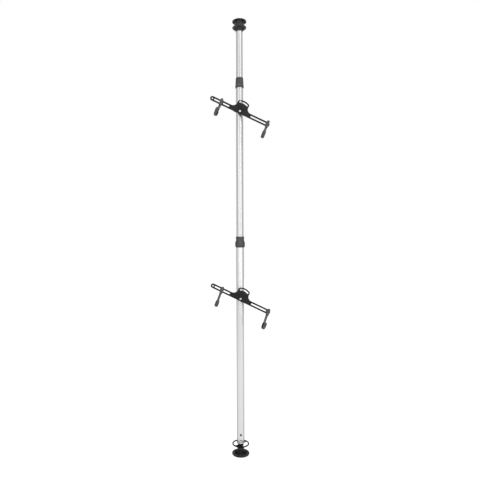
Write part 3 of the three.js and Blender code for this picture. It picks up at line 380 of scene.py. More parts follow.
def bevelSharp(bm, width, fromAngle, segments=2):
    limit = math.radians(fromAngle)
    rims = [e for e in bm.edges if len(e.link_faces) == 2 and e.calc_face_angle(0) > limit]
    bmesh.ops.bevel(bm, geom=rims, offset=width, offset_type="OFFSET", affect="EDGES",
                    segments=segments, profile=0.5, material=-1, clamp_overlap=True)


def rod(radius, length, steps=48, edgeRound=0.0, radius2=None):
    # a rod up from the origin
    bm = bmesh.new()
    bmesh.ops.create_cone(bm, cap_ends=True, cap_tris=False, segments=steps, radius1=radius,
                          radius2=radius if radius2 is None else radius2, depth=length)
    bmesh.ops.translate(bm, vec=(0, 0, length / 2), verts=bm.verts)
    if edgeRound:
        bevelSharp(bm, edgeRound, 50)
    return bm


def block(low, high, edgeRound=0.0):
    bm = bmesh.new()
    bmesh.ops.create_cube(bm, size=1)
    size = Vector(high) - Vector(low)
    bmesh.ops.scale(bm, vec=size, verts=bm.verts)
    bmesh.ops.translate(bm, vec=(Vector(high) + Vector(low)) / 2, verts=bm.verts)
    if edgeRound:
        bevelSharp(bm, edgeRound, 60)
    return bm


def moved(bm, offset=(0, 0, 0), turn=0.0, axis="Z"):
    matrix = Matrix.Translation(offset) @ Matrix.Rotation(math.radians(turn), 4, axis)
    bmesh.ops.transform(bm, matrix=matrix, verts=bm.verts)
    return bm


def radialWeb(outline, width):
    # a web that stands out from the pole, from its outline of radius and height
    web = outlineSolid(outline, width, edgeRound=0.4)
    moved(web, (0, 0, -width / 2))
    return moved(web, turn=90, axis="X")


def drill(radius, length, steps, start):
    # a rod for a hole, from its start towards the front
    return moved(rod(radius, length, steps), start, 90, "X")


def around(count, bm, shift=0.0):
    # copies of one shape at even steps about the pole
    copies = [moved(bm.copy(), turn=(i + shift) * 360 / count) for i in range(count)]
    bm.free()
    return joined(*copies)


def ringGroove(start, end, face, depth, slope):
    # corners of a groove in a flat face, from one radius to another
    way = math.copysign(slope, end - start)
    return [(start, face), (start + way, face + depth), (end - way, face + depth), (end, face)]


def joined(*parts):
    # separate shells gathered into one mesh
    whole = bmesh.new()
    for part in parts:
        mesh = bpy.data.meshes.new("part")
        part.to_mesh(mesh)
        part.free()
        whole.from_mesh(mesh)
        bpy.data.meshes.remove(mesh)
    return whole


def carved(base, tool, operation="DIFFERENCE"):
    # a boolean of two closed shapes
    objects = []
    for bm in (base, tool):
        mesh = bpy.data.meshes.new("shape")
        bm.to_mesh(mesh)
        bm.free()
        objects.append(linked("shape", mesh))
    modifier = objects[0].modifiers.new("carve", "BOOLEAN")
    modifier.operation = operation
    modifier.solver = "EXACT"
    modifier.use_self = operation == "UNION"
    modifier.object = objects[1]
    evaluated = objects[0].evaluated_get(bpy.context.evaluated_depsgraph_get())
    result = bmesh.new()
    result.from_mesh(evaluated.to_mesh())
    for shape in objects:
        mesh = shape.data
        bpy.data.objects.remove(shape)
        bpy.data.meshes.remove(mesh)
    return result


# +Z of a piece made flat on the bench points to the front of the tower
toFront = Matrix.Rotation(math.radians(90), 4, "X")
toBack = Matrix.Rotation(math.radians(-90), 4, "X")


def facedForward(bm, back):
    # stands the shape up, its zero height this far in front of the pole's axis
    bmesh.ops.transform(bm, matrix=Matrix.Translation((0, -back, 0)) @ toFront, verts=bm.verts)


def holderPlace(side):
    return Matrix.Translation((0, 0, pivotHeight[side]))


def platePlace(side):
    return holderPlace(side) @ Matrix.Rotation(math.radians(plateTilt), 4, "Y")


# Foot and handwheel

footSizes = dict(radius=60, rimHeight=8, rimWidth=7, wellFloor=5, hubRadius=21.5, hubTop=26,
                 socketRadius=14.3, floorThickness=6, ribs=16, ribWidth=2.4, ribRises=(15, 6.75),
                 padRadius=57, padHeight=3, padGrooves=((23, 30), (40, 47)), padGrooveDepth=0.7)


def makeFoot():
    s = SimpleNamespace(**footSizes)
    bottom = boxOf("foot_base")[0].z
    well = s.radius - s.rimWidth
    foot = turnedSolid([
        (0, 0), (s.radius, 0, 1.2), (s.radius, s.rimHeight, 2.6), (well, s.rimHeight, 1.6),
        (well - 1.5, s.wellFloor, 1), (s.hubRadius + 4, s.wellFloor, 3),
        (s.hubRadius, s.wellFloor + 6, 3), (s.hubRadius, s.hubTop, 0.8),
        (s.socketRadius, s.hubTop), (s.socketRadius, s.floorThickness), (0, s.floorThickness),
    ])
    hubCore = s.hubRadius - 3
    root = s.wellFloor - 1
    for rise, shift in zip(s.ribRises, (0.25, 0.75)):
        # tall and low ribs take turns
        crest = s.wellFloor + rise
        rib = radialWeb([
            (hubCore, root), (well + 2, root), (well + 2, s.rimHeight - 1.2),
            (well - 2, s.rimHeight - 1.6), (s.hubRadius + 1, crest), (hubCore, crest),
        ], s.ribWidth)
        foot = joined(foot, around(s.ribs // 2, rib, shift))
    finishPiece("footBody", foot, "footPlastic", "foot", ["foot_base"],
                Matrix.Translation((0, 0, bottom)))
    grooves = [ringGroove(*radii, 0, s.padGrooveDepth, slope=1) for radii in s.padGrooves]
    pad = turnedSolid([
        (0, 0), *grooves[0], *grooves[1], (s.padRadius, 0, 0.5), (s.padRadius, s.padHeight, 0.9),
        (0, s.padHeight),
    ])
    finishPiece("footPad", pad, "padRubber", "foot", ["floor_pad"])


threadSizes = dict(core=6.8, crest=7.95, lead=4, chamfer=2, flange=14, flangeThickness=6, sweep=24)


def makeSpindle():
    s = SimpleNamespace(**threadSizes)
    low, high = boxOf("tension_spindle")
    threadLow = low.z + s.flangeThickness + 6
    core = turnedSolid([
        (0, low.z), (s.flange, low.z, 0.6), (s.flange, low.z + s.flangeThickness, 0.6),
        (s.core, low.z + s.flangeThickness), (s.core, high.z, s.chamfer * 0.7), (0, high.z),
    ], 64)
    thread = bmesh.new()
    half = s.lead * 0.42
    tooth = [(s.core - 0.3, -half), (s.crest, -0.5), (s.crest, 0.5), (s.core - 0.3, half)]
    corners = [thread.verts.new((r, 0, threadLow + z)) for r, z in tooth]
    thread.faces.new(corners)
    turns = int((high.z - threadLow - s.chamfer - half) / s.lead)
    steps = turns * s.sweep
    bmesh.ops.spin(thread, geom=thread.verts[:] + thread.edges[:] + thread.faces[:], cent=(0, 0, 0),
                   axis=(0, 0, 1), dvec=(0, 0, s.lead / s.sweep), angle=2 * math.pi * turns, steps=steps,
                   use_merge=False)
    bmesh.ops.recalc_face_normals(thread, faces=thread.faces)
    finishPiece("spindleScrew", joined(core, thread), "zinc", "foot", ["tension_spindle"])


capSizes = dict(radius=21.5, bore=8.6, sleeve=14, notches=12, notchRadius=2.2)


def makeSpindleCap():
    s = SimpleNamespace(**capSizes)
    low, high = boxOf("spindle_cap")
    seat = boxOf("foot_base")[1].z + seatGap
    cap = turnedSolid([
        (s.bore, low.z), (s.sleeve, low.z, 0.4), (s.sleeve, seat), (s.radius, seat, 0.5),
        (s.radius, high.z, 1.6), (s.bore, high.z, 0.6),
    ])
    notches = around(s.notches, moved(rod(s.notchRadius, 12, 20), (s.radius + 1.1, 0, seat - 3)))
    finishPiece("spindleCapRing", carved(cap, notches), "footPlastic", "foot",
                ["spindle_cap"])


wheelSizes = dict(ring=54.5, rod=4.6, hub=16.5, flange=24, flangeHeight=8, bore=8.4, nut=12.3,
                  nutFlange=14.3, nutFlangeHeight=3, counterbore=3.6, crown=3, ringHeight=33, band=3,
                  bandHeight=10, bandDrop=6, dents=10, dentRadius=3, spokes=(45, 225), weldBead=1.22)


def makeHandwheel():
    s = SimpleNamespace(**wheelSizes)
    low, high = boxOf("handwheel_hub")
    hub = turnedSolid([
        (s.nutFlange, low.z), (s.flange, low.z, 1.6), (s.flange, low.z + s.flangeHeight, 1.8),
        (s.hub, low.z + s.flangeHeight, 1.2), (s.hub, high.z, 0.8), (s.bore, high.z),
        (s.bore, high.z - s.crown), (s.nut, high.z - s.crown), (s.nut, low.z + s.counterbore),
        (s.nutFlange, low.z + s.counterbore),
    ])
    dents = around(s.dents, moved(rod(s.dentRadius, 14, 20), (s.flange + 2.1, 0, low.z - 3)), 0.5)
    finishPiece("handwheelHub", carved(hub, dents), "hubPlasticPaintedLit", "handwheel",
                ["handwheel_hub"])

    ringHeight = low.z + s.ringHeight
    circle = arc((s.ring, ringHeight), s.rod, 0, 360, 16)[:-1]
    ring = turnedSolid(circle, 96)
    bandLow = ringHeight - s.bandDrop - s.bandHeight / 2
    inner = s.hub + seatGap
    band = sleeve(inner, inner + s.band, bandLow, bandLow + s.bandHeight, 0.6)
    start = Vector((inner + s.band / 2, 0, ringHeight - s.bandDrop))
    end = Vector((s.ring, 0, ringHeight))
    along = end - start
    spokes = []
    for turn in s.spokes:
        spoke = rod(s.rod, along.length, 24)
        bmesh.ops.transform(spoke, matrix=Vector((0, 0, 1)).rotation_difference(along).to_matrix().to_4x4(),
                            verts=spoke.verts)
        weldBead = bmesh.new()
        bmesh.ops.create_uvsphere(weldBead, u_segments=24, v_segments=12, radius=s.rod * s.weldBead)
        bmesh.ops.scale(weldBead, vec=(0.9, 1.25, 0.9), verts=weldBead.verts)
        moved(weldBead, end - Vector((s.rod * 0.75, 0, 0.2)))
        spokes += [moved(moved(spoke, start), turn=turn), moved(weldBead, turn=turn)]
    finishPiece("handwheelRing", joined(ring, band, *spokes), "rodCoat", "handwheel",
                ["handwheel_ring"], sharpAngle=40)

    low, high = boxOf("handwheel_nut")
    flangeTop = low.z + s.nutFlangeHeight
    nutFlange, nutBody = s.nutFlange - seatGap, s.nut - seatGap
    nut = turnedSolid([
        (s.bore, low.z, 0.4), (nutFlange, low.z, 0.5), (nutFlange, flangeTop), (nutBody, flangeTop),
        (nutBody, high.z, 0.6), (s.bore, high.z),
    ], 64)
    finishPiece("handwheelNut", nut, "brassTurned", "handwheel", ["handwheel_nut"])
    low, high = boxOf("thrust_washer")
    washer = sleeve(s.bore, s.hub, low.z, high.z, 0.3, 64)
    finishPiece("thrustWasher", washer, "nylonWhite", "lower_pole", ["thrust_washer"])


# Pole

tubeSizes = dict(lower=27, middle=25, upper=23, wall=1.6, flutes=8, fluteWidth=7, fluteDepth=0.8,
                 plugFit=25.1, plugBore=8.4, plugWall=6, plugBoreDepth=32, screwHeight=60, screwRadius=3.3,
                 sightHeight=23, sightRadius=4.5, screwHead=7, screwHeadHeight=3, screwSlotHalf=0.6,
                 screwSlotReach=3.6, screwSlotFloor=1.4, shank=3, shankLength=9)


def fluteOutline(radius):
    # one flute faces the front
    s = SimpleNamespace(**tubeSizes)
    pitch = 360 / s.flutes
    halfFlute = math.degrees(math.asin(s.fluteWidth / 2 / radius))
    rise = s.fluteDepth - (radius - radius * math.cos(math.radians(halfFlute)))
    scoop = (s.fluteWidth ** 2 / 4 + rise ** 2) / (2 * rise)
    scoopHalf = math.degrees(math.asin(s.fluteWidth / 2 / scoop))
    outline = []
    for i in range(s.flutes):
        middle = i * pitch - 90
        reach = radius - s.fluteDepth + scoop
        centre = (reach * math.cos(math.radians(middle)), reach * math.sin(math.radians(middle)))
        outline += arc(centre, scoop, middle + 180 + scoopHalf, middle + 180 - scoopHalf, 8)
        outline += arc((0, 0), radius, middle + halfFlute, middle + pitch - halfFlute, 8)[1:-1]
    return outline


def makeTubes():
    s = SimpleNamespace(**tubeSizes)
    low, high = boxOf("lower_tube")
    tube = sleeve(s.lower - s.wall, s.lower, low.z, high.z, 0.3, 128)
    for height, radius in ((s.screwHeight, s.screwRadius), (s.sightHeight, s.sightRadius)):
        tube = carved(tube, drill(radius, 14, 40, (0, -20, low.z + height)))
    finishPiece("lowerTube", tube, "anodised", "lower_pole", ["lower_tube"])
    for part in ("middle", "upper"):
        low, high = boxOf(f"{part}_tube")
        inner = arc((0, 0), tubeSizes[part] - s.wall, 0, 360, 96)[:-1]
        fluted = outlineSolid(fluteOutline(tubeSizes[part]), high.z - low.z, [inner])
        finishPiece(f"{part}Tube", fluted, f"anodised{part.title()}", f"{part}_pole",
                    [f"{part}_tube"], Matrix.Translation((0, 0, low.z)))


def makeEndPlug():
    s = SimpleNamespace(**tubeSizes)
    low, high = boxOf("lower_end_plug")
    shoulder = low.z + 3
    inside = s.plugFit - s.plugWall
    plug = turnedSolid([
        (s.plugBore, low.z, 0.8), (s.lower, low.z, 1), (s.lower, shoulder, 0.4),
        (s.plugFit, shoulder), (s.plugFit, high.z), (inside, high.z),
        (inside, low.z + s.plugBoreDepth), (s.plugBore, low.z + s.plugBoreDepth),
    ])
    screwZ = boxOf("lower_tube")[0].z + s.screwHeight
    plug = carved(plug, drill(s.screwRadius, 20, 40, (0, -12, screwZ)))
    finishPiece("endPlug", plug, "footPlastic", "lower_pole", ["lower_end_plug"])
    r = s.screwHead
    head = turnedSolid([
        (0, 0), (r, 0, 0.2), (r, 1.1, 0.5), (r * 0.8, 2.4, 0.9), (3.4, s.screwHeadHeight, 0.8),
        (0, s.screwHeadHeight),
    ], 48)
    reach, half = s.screwSlotReach, s.screwSlotHalf
    for x, y in ((reach, half), (half, reach)):
        head = carved(head, block((-x, -y, s.screwSlotFloor), (x, y, s.screwHeadHeight + 1)))
    shank = moved(rod(s.shank, s.shankLength + 0.4, 32), (0, 0, -s.shankLength))
    screw = joined(head, shank)
    place = Matrix.Translation((0, -s.lower - seatGap, screwZ)) @ toFront
    finishPiece("plugScrew", screw, "darkSteel", "lower_pole", ["end_plug_screw"], place)


collarSizes = {
    "lower": dict(radius=33.5, waist=27.4, lip=28.8, flare=31, waistHeight=54, lipHeight=68, grooves=8,
                  grooveRadius=3, grooveDepth=1.2, bore=27.4, skirt=5.7, sleeve=30, collet=29.2,
                  colletHeight=11, taper=2.2, tubeBore=25.4, grips=48, gripWidth=1.5),
    "upper": dict(radius=29.6, top=25.6, grooves=8, grooveRadius=3, grooveDepth=1, sleeve=26.8, collet=26,
                  colletHeight=9, taper=1.4, tubeBore=23.4),
}


def collarInside(s, bottom, top, colletBottom):
    wide = s.sleeve + seatGap
    cone = s.collet + seatGap
    coneTop = colletBottom + s.colletHeight + seatGap
    return [
        (s.tubeBore, top, 0.5), (s.tubeBore, coneTop), (cone - s.taper, coneTop), (cone, colletBottom),
        (wide, colletBottom - seatGap), (wide, bottom, 0.5),
    ]


def makeLowerCollar():
    s = SimpleNamespace(**collarSizes["lower"])
    low, high = boxOf("lower_twist_collar")
    bottom, top = low.z, high.z
    flare = []
    for i in range(13):
        part = i / 12
        ease = (1 + math.cos(math.pi * part)) / 2
        flare.append((s.waist + (s.radius - s.waist) * ease,
                      bottom + s.flare + (s.waistHeight - s.flare) * part))
    collet = boxOf("lower_lock_collet")[0].z
    r = s.radius
    collar = turnedSolid([
        (s.bore, bottom, 0.4), (r - 5, bottom, 0.8), (r, bottom + 6.5, 1.4), (r, bottom + 9.6, 0.4),
        (r - 0.7, bottom + 10.4, 0.4), (r - 0.7, bottom + 12.2, 0.4), (r, bottom + 13, 0.4),
        *flare, (s.lip, bottom + s.lipHeight, 0.8), (s.lip, top, 0.9),
        *collarInside(s, bottom + s.skirt, top, collet),
        (s.bore, bottom + s.skirt),
    ], 160)
    centre = s.lip - s.grooveDepth + s.grooveRadius
    groove = moved(rod(s.grooveRadius, 40, 24), (0, -centre, bottom + s.waistHeight - 6))
    collar = carved(collar, around(s.grooves, groove, 0.5))
    grip = radialWeb([
        (r - 1.2, bottom + 15), (r + 0.25, bottom + 16.5), (r + 0.25, bottom + 30.5), (r - 1.2, bottom + 32),
    ], s.gripWidth)
    finishPiece("lowerTwistCollar", joined(collar, around(s.grips, grip, 0.5)), "collarPlastic",
                "lower_collar", ["lower_twist_collar"])


def makeUpperCollar():
    s = SimpleNamespace(**collarSizes["upper"])
    low, high = boxOf("upper_twist_collar")
    bottom, top = low.z, high.z
    collet = boxOf("upper_lock_collet")[0].z
    r = s.radius
    collar = turnedSolid([
        (r - 1.2, bottom, 0.4), (r, bottom + 2.5, 0.8), (r - 0.45, bottom + 9, 0.3),
        (r - 1.2, bottom + 9.7, 0.3), (r - 1.25, bottom + 11, 0.3), (r - 0.6, bottom + 11.7, 0.3),
        (s.top, top - 2.5, 1), (s.top - 1, top, 0.4),
        *collarInside(s, bottom, top, collet),
    ], 160)
    slope = math.degrees(math.atan((r - s.top) / (top - bottom - 5)))
    centre = r - s.grooveDepth + s.grooveRadius - 1.4
    groove = moved(rod(s.grooveRadius, 60, 24), (0, -centre, bottom + 13), -slope, "X")
    collar = carved(collar, around(s.grooves, groove))
    finishPiece("upperTwistCollar", collar, "collarPlastic", "upper_collar",
                ["upper_twist_collar"])


topSizes = dict(disc=49, discHeight=6, waist=33, bore=4.3, plugFit=21.1, skirtBore=23.3, skirt=25.7,
                skirtDepth=20, ribs=12, ribWidth=2.2, plateHeight=4.5, recess=6, recessRadius=8.3,
                gussets=8, gussetDrop=13, gussetWidth=2.4, padGrooves=((38, 33), (21, 16)),
                padGrooveDepth=0.8)


def makeTop():
    s = SimpleNamespace(**topSizes)
    low, high = boxOf("top_cap")
    tubeTop = boxOf("upper_tube")[1].z
    shoulder = tubeTop + seatGap
    discLow = shoulder + 3
    discTop = discLow + s.discHeight
    skirtLow = tubeTop - s.skirtDepth
    cap = turnedSolid([
        (s.bore, low.z), (s.plugFit, low.z, 1), (s.plugFit, shoulder), (s.skirtBore, shoulder),
        (s.skirtBore, skirtLow), (s.skirt, skirtLow, 0.8), (s.skirt + 2.4, shoulder - 3, 2),
        (s.disc - 2.4, discLow, 1), (s.disc, discLow + 2.4, 1), (s.disc, discTop, 1.6),
        (s.waist + 3, discTop, 1), (s.waist, discTop + 3, 2), (s.waist, high.z),
        (s.bore, high.z),
    ])
    web = radialWeb([
        (s.skirt - 1.5, tubeTop - 14), (s.skirt + 0.6, tubeTop - 13), (s.disc - 5, discLow + 0.3),
        (s.disc - 5, discLow + 3), (s.skirt - 1.5, discLow + 3),
    ], s.ribWidth)
    finishPiece("topCap", joined(cap, around(s.ribs, web)), "topPlastic", "upper_pole",
                ["top_cap"])

    low, high = boxOf("ceiling_plate")
    under = high.z - s.plateHeight
    recessFloor = high.z - s.recess
    plate = turnedSolid([
        (s.bore, low.z), (s.waist, low.z, 0.5), (s.waist, under - 3, 2), (s.waist + 3, under, 1),
        (s.disc - 1.2, under, 0.6), (s.disc, under + 1.2, 0.6), (s.disc, high.z, 0.6),
        (s.recessRadius, high.z), (s.recessRadius, recessFloor), (s.bore, recessFloor),
    ])
    gusset = radialWeb([
        (s.waist - 1, under - s.gussetDrop), (s.waist + 1, under - s.gussetDrop),
        (s.disc - 3, under - 1), (s.disc - 3, under + 1), (s.waist - 1, under + 1),
    ], s.gussetWidth)
    finishPiece("ceilingPlate", joined(plate, around(s.gussets, gusset)), "topPlastic", "upper_pole",
                ["ceiling_plate"])
    low, high = boxOf("ceiling_pad")
    depth = s.padGrooveDepth
    grooves = [ringGroove(*radii, high.z, -depth, slope=depth) for radii in s.padGrooves]
    pad = turnedSolid([
        (0, low.z), (s.disc, low.z, 0.4), (s.disc, high.z, 1), *grooves[0], *grooves[1], (0, high.z),
    ])
    finishPiece("ceilingPad", pad, "padRubber", "upper_pole", ["ceiling_pad"])


makeFoot()
makeSpindle()
makeSpindleCap()
makeHandwheel()
print("foot and handwheel made")
makeTubes()
makeEndPlug()
makeLowerCollar()
makeUpperCollar()
makeTop()
print("pole made")


# Holders

clampSizes = dict(bore=30.6, low=14, high=38, ear=40.5, earDepth=12, parting=0.6, seatHalf=26, seatDepth=45.7,
                  wall=5.4, boltX=35.3, boltZ=(20.2, 31.8), pocketFlange=4, pocketWidth=9, pocketDepth=10,
                  spineBack=33.5, spineFoot=12, spineHead=8.5, liner=30.3, linerLip=2.5,
                  linerSlitHalf=1.5, boltHole=2.8, boltSink=4.6, holderHole=4.3, backRib=2.4)


def makeClampLiner(side, tubeRadius):
    s = SimpleNamespace(**clampSizes)
    low, high = boxOf(f"{side}_clamp_liner")
    inner = tubeRadius + seatGap
    lip = s.bore + s.linerLip
    bm = bmesh.new()
    profileWire(bm, [
        (inner, low.z), (lip, low.z, 0.7), (lip, low.z + 2, 0.5), (s.liner, low.z + 2),
        (s.liner, high.z - 2), (lip, high.z - 2, 0.5), (lip, high.z, 0.7), (inner, high.z),
    ])
    slit = math.degrees(s.linerSlitHalf / inner)
    bmesh.ops.contextual_create(bm, geom=bm.edges[:])
    bmesh.ops.spin(bm, geom=bm.verts[:] + bm.edges[:] + bm.faces[:], cent=(0, 0, 0), axis=(0, 0, 1),
                   angle=math.radians(360 - 2 * slit), steps=95, use_merge=False)
    moved(bm, turn=90 + slit)
    finishPiece(f"{side}ClampLiner", bm, "linerRubber", f"{side}_carrier",
                [f"{side}_clamp_liner"])


def lockBoltPlace():
    angle = math.radians(lockBoltAngle)
    return lockBoltRadius * math.sin(angle), lockBoltRadius * math.cos(angle)


def makeClamp(side):
    s = SimpleNamespace(**clampSizes)
    place = holderPlace(side)
    height = s.high - s.low
    split = math.degrees(math.asin(s.parting / s.bore))
    outer = s.bore + s.wall
    earAngle = math.degrees(math.asin(s.earDepth / outer))
    seatAngle = math.degrees(math.acos(s.seatHalf / outer))
    front = outlineSolid([
        (-s.ear, -s.parting), (-s.ear, -s.earDepth),
        *arc((0, 0), outer, 180 + earAngle, 180 + seatAngle, 10),
        (-s.seatHalf, -s.seatDepth), (s.seatHalf, -s.seatDepth),
        *arc((0, 0), outer, -seatAngle, -earAngle, 10),
        (s.ear, -s.earDepth), (s.ear, -s.parting),
        *arc((0, 0), s.bore, -split, split - 180, 40),
    ], height, edgeRound=0.8)
    moved(front, (0, 0, s.low))
    lockX, lockZ = lockBoltPlace()
    lean = 90 - lockBoltAngle
    flank = 90 - math.degrees(math.asin((s.spineFoot - s.spineHead) / lockBoltRadius))
    spine = outlineSolid([
        *arc((lockX, lockZ), s.spineHead, lean - flank, lean + flank, 16),
        *arc((0, 0), s.spineFoot, lean + flank, lean + 360 - flank, 20),
    ], s.seatDepth - s.spineBack, edgeRound=0.8)
    facedForward(spine, s.spineBack)
    front = carved(front, spine, "UNION")
    cutters = []
    for x, z in ((0, 0), (lockX, lockZ)):
        cutters.append(drill(s.holderHole, 20, 32, (x, 10.3 - s.seatDepth, z)))
    pocketFront = s.pocketFlange - s.seatDepth
    for way in (-1, 1):
        for z in s.boltZ:
            cutters.append(drill(s.boltHole, 16, 24, (way * s.boltX, 6, z)))
        near, far = sorted((way * (s.seatHalf - s.pocketDepth), way * (s.seatHalf + 4)))
        cutters.append(block((near, pocketFront, s.low + s.pocketFlange),
                             (far, pocketFront + s.pocketWidth, s.high - s.pocketFlange), 0.6))
    front = carved(front, joined(*cutters))
    finishPiece(f"{side}ClampFront", front, "clampPlastic", f"{side}_clamp",
                [f"{side}_clamp_front"], place)

    back = outlineSolid([
        (s.ear, s.parting), (s.ear, s.earDepth), *arc((0, 0), outer, earAngle, 180 - earAngle, 40),
        (-s.ear, s.earDepth), (-s.ear, s.parting), *arc((0, 0), s.bore, 180 - split, split, 40),
    ], height, edgeRound=0.8)
    moved(back, (0, 0, s.low))
    for radius, length, steps in ((s.boltHole, 26, 24), (s.boltSink, 10, 32)):
        back = carved(back, joined(*[
            drill(radius, length, steps, (way * s.boltX, 22, z))
            for way in (-1, 1) for z in s.boltZ
        ]))
    ribs = []
    for z in (s.low + 3, (s.low + s.high) / 2, s.high - 3):
        rib = outlineSolid([*arc((0, 0), outer + 1, earAngle + 14, 166 - earAngle, 40),
                            *arc((0, 0), outer - 1.5, 166 - earAngle, earAngle + 14, 40)],
                           s.backRib, edgeRound=0.7)
        ribs.append(moved(rib, (0, 0, z - s.backRib / 2)))
    finishPiece(f"{side}ClampBack", joined(back, *ribs), "clampPlastic", f"{side}_clamp",
                [f"{side}_clamp_back"], place)


def socketBolt(headRadius, headHeight, shankRadius, shankLength, across):
    # cap screw with a hexagon socket, head upwards from the origin
    head = turnedSolid([(0, 0), (headRadius, 0, 0.3), (headRadius, headHeight, 0.7), (0, headHeight)], 40)
    hexagon = moved(rod(across / math.sqrt(3), 6, 6), (0, 0, headHeight - 2.4))
    head = carved(head, hexagon)
    shank = moved(rod(shankRadius, shankLength + 1, 24, 0.3), (0, 0, -shankLength))
    return joined(head, shank)


def hexBolt(across, headHeight, washerRadius, washerHeight, shankRadius, shankLength):
    # hexagon bolt with a washer face, head upwards from the origin
    washer = sleeve(shankRadius, washerRadius, 0, washerHeight, 0.3, 48)
    prism = moved(rod(across / math.sqrt(3), headHeight, 6), (0, 0, washerHeight), 30)
    dome = turnedSolid([
        (0, washerHeight - 1), (across, washerHeight - 1), (across, washerHeight + headHeight * 0.45),
        (across * 0.47, washerHeight + headHeight), (0, washerHeight + headHeight),
    ], 48)
    head = carved(prism, dome, "INTERSECT")
    shank = moved(rod(shankRadius, shankLength + washerHeight, 32, 0.4), (0, 0, -shankLength))
    return joined(washer, head, shank)


boltSizes = dict(
    clamp=dict(headRadius=4.3, headHeight=5, shankRadius=2.5, shankLength=20.7, across=4),
    holder=dict(across=13, headHeight=5.3, washerRadius=6.5, washerHeight=0.8, shankRadius=4,
                shankLength=15.3),
    clampSeat=12.3, holderSeat=51.3,
)


def makeClampBolts(side):
    s = SimpleNamespace(**clampSizes)
    for row, z in zip(("bottom", "top"), s.boltZ):
        for name, way in (("left", -1), ("right", 1)):
            bolt = socketBolt(**boltSizes["clamp"])
            seat = Matrix.Translation((way * s.boltX, boltSizes["clampSeat"], pivotHeight[side] + z))
            place = seat @ toBack
            finishPiece(f"{side}ClampBolt{name.title()}{row.title()}", bolt, "zinc", f"{side}_clamp",
                        [f"{side}_clamp_bolt_{name}_{row}"], place)
    for name, (x, z) in (("pivot", (0, 0)), ("lock", lockBoltPlace())):
        bolt = hexBolt(**boltSizes["holder"])
        place = Matrix.Translation((x, -boltSizes["holderSeat"], pivotHeight[side] + z)) @ toFront
        finishPiece(f"{side}{name.title()}Bolt", bolt, "zinc", f"{side}_clamp",
                    [f"{side}_{name}_bolt"], place)


plateSizes = dict(half=16, endHole=rightHookPlace, endHoleRadius=5, slotHalf=5, slotInner=85, slotOuter=190,
                  arcRadius=lockBoltRadius, arcHalf=4.75, ear=14.5, fillet=31, reach=26.5, pivotHole=4.4,
                  standOff=46, thickness=5, edge=0.7)


def stadium(start, end, half):
    return arc((start, 0), half, 90, 270, 12) + arc((end, 0), half, -90, 90, 12)


def makePlate(side):
    s = SimpleNamespace(**plateSizes)
    earX = s.arcRadius * math.sin(math.radians(s.reach))
    earZ = s.arcRadius * math.cos(math.radians(s.reach))
    filletZ = s.half + s.fillet
    filletX = earX + math.sqrt((s.fillet + s.ear) ** 2 - (filletZ - earZ) ** 2)
    meet = math.degrees(math.atan2(filletZ - earZ, filletX - earX))
    half = [
        *arc((s.endHole, 0), s.half, -90, 90, 20),
        *arc((filletX, filletZ), s.fillet, 270, 180 + meet, 14),
        *arc((earX, earZ), s.ear, meet, 90 - s.reach, 10)[1:],
        *arc((0, 0), s.arcRadius + s.ear, 90 - s.reach, 90, 12)[1:],
    ]
    outline = half + [(-x, z) for x, z in reversed(half[:-1])]
    inner, outer = s.arcRadius - s.arcHalf, s.arcRadius + s.arcHalf
    arcSlot = [
        *arc((0, 0), outer, 90 - s.reach, 90 + s.reach, 24),
        *arc((-earX, earZ), s.arcHalf, 90 + s.reach, 270 + s.reach, 12)[1:-1],
        *arc((0, 0), inner, 90 + s.reach, 90 - s.reach, 24),
        *arc((earX, earZ), s.arcHalf, 270 - s.reach, 450 - s.reach, 12)[1:-1],
    ]
    rounds = ((0, s.pivotHole), (-s.endHole, s.endHoleRadius), (s.endHole, s.endHoleRadius))
    holes = [
        *[arc((x, 0), radius, 0, 360, 32)[:-1] for x, radius in rounds],
        stadium(-s.slotOuter, -s.slotInner, s.slotHalf),
        stadium(s.slotInner, s.slotOuter, s.slotHalf),
        arcSlot,
    ]
    plate = outlineSolid(outline, s.thickness, holes, edgeRound=s.edge)
    facedForward(plate, s.standOff)
    finishPiece(f"{side}HolderPlate", plate, "plateCoat", f"{side}_plate",
                [f"{side}_holder_plate"], platePlace(side))


hookSizes = dict(blockHalf=10, above=24.5, below=24, depth=18, back=51.3, width=16, thickness=8, bend=22,
                 angle=20, slope=46, cradle=28, lip=18, padWidth=23, padThickness=5, padBack=6, padLip=12,
                 padWrap=5, strapRound=1.6, studHole=4.5, ridgeHalf=3, ridgeTop=14)


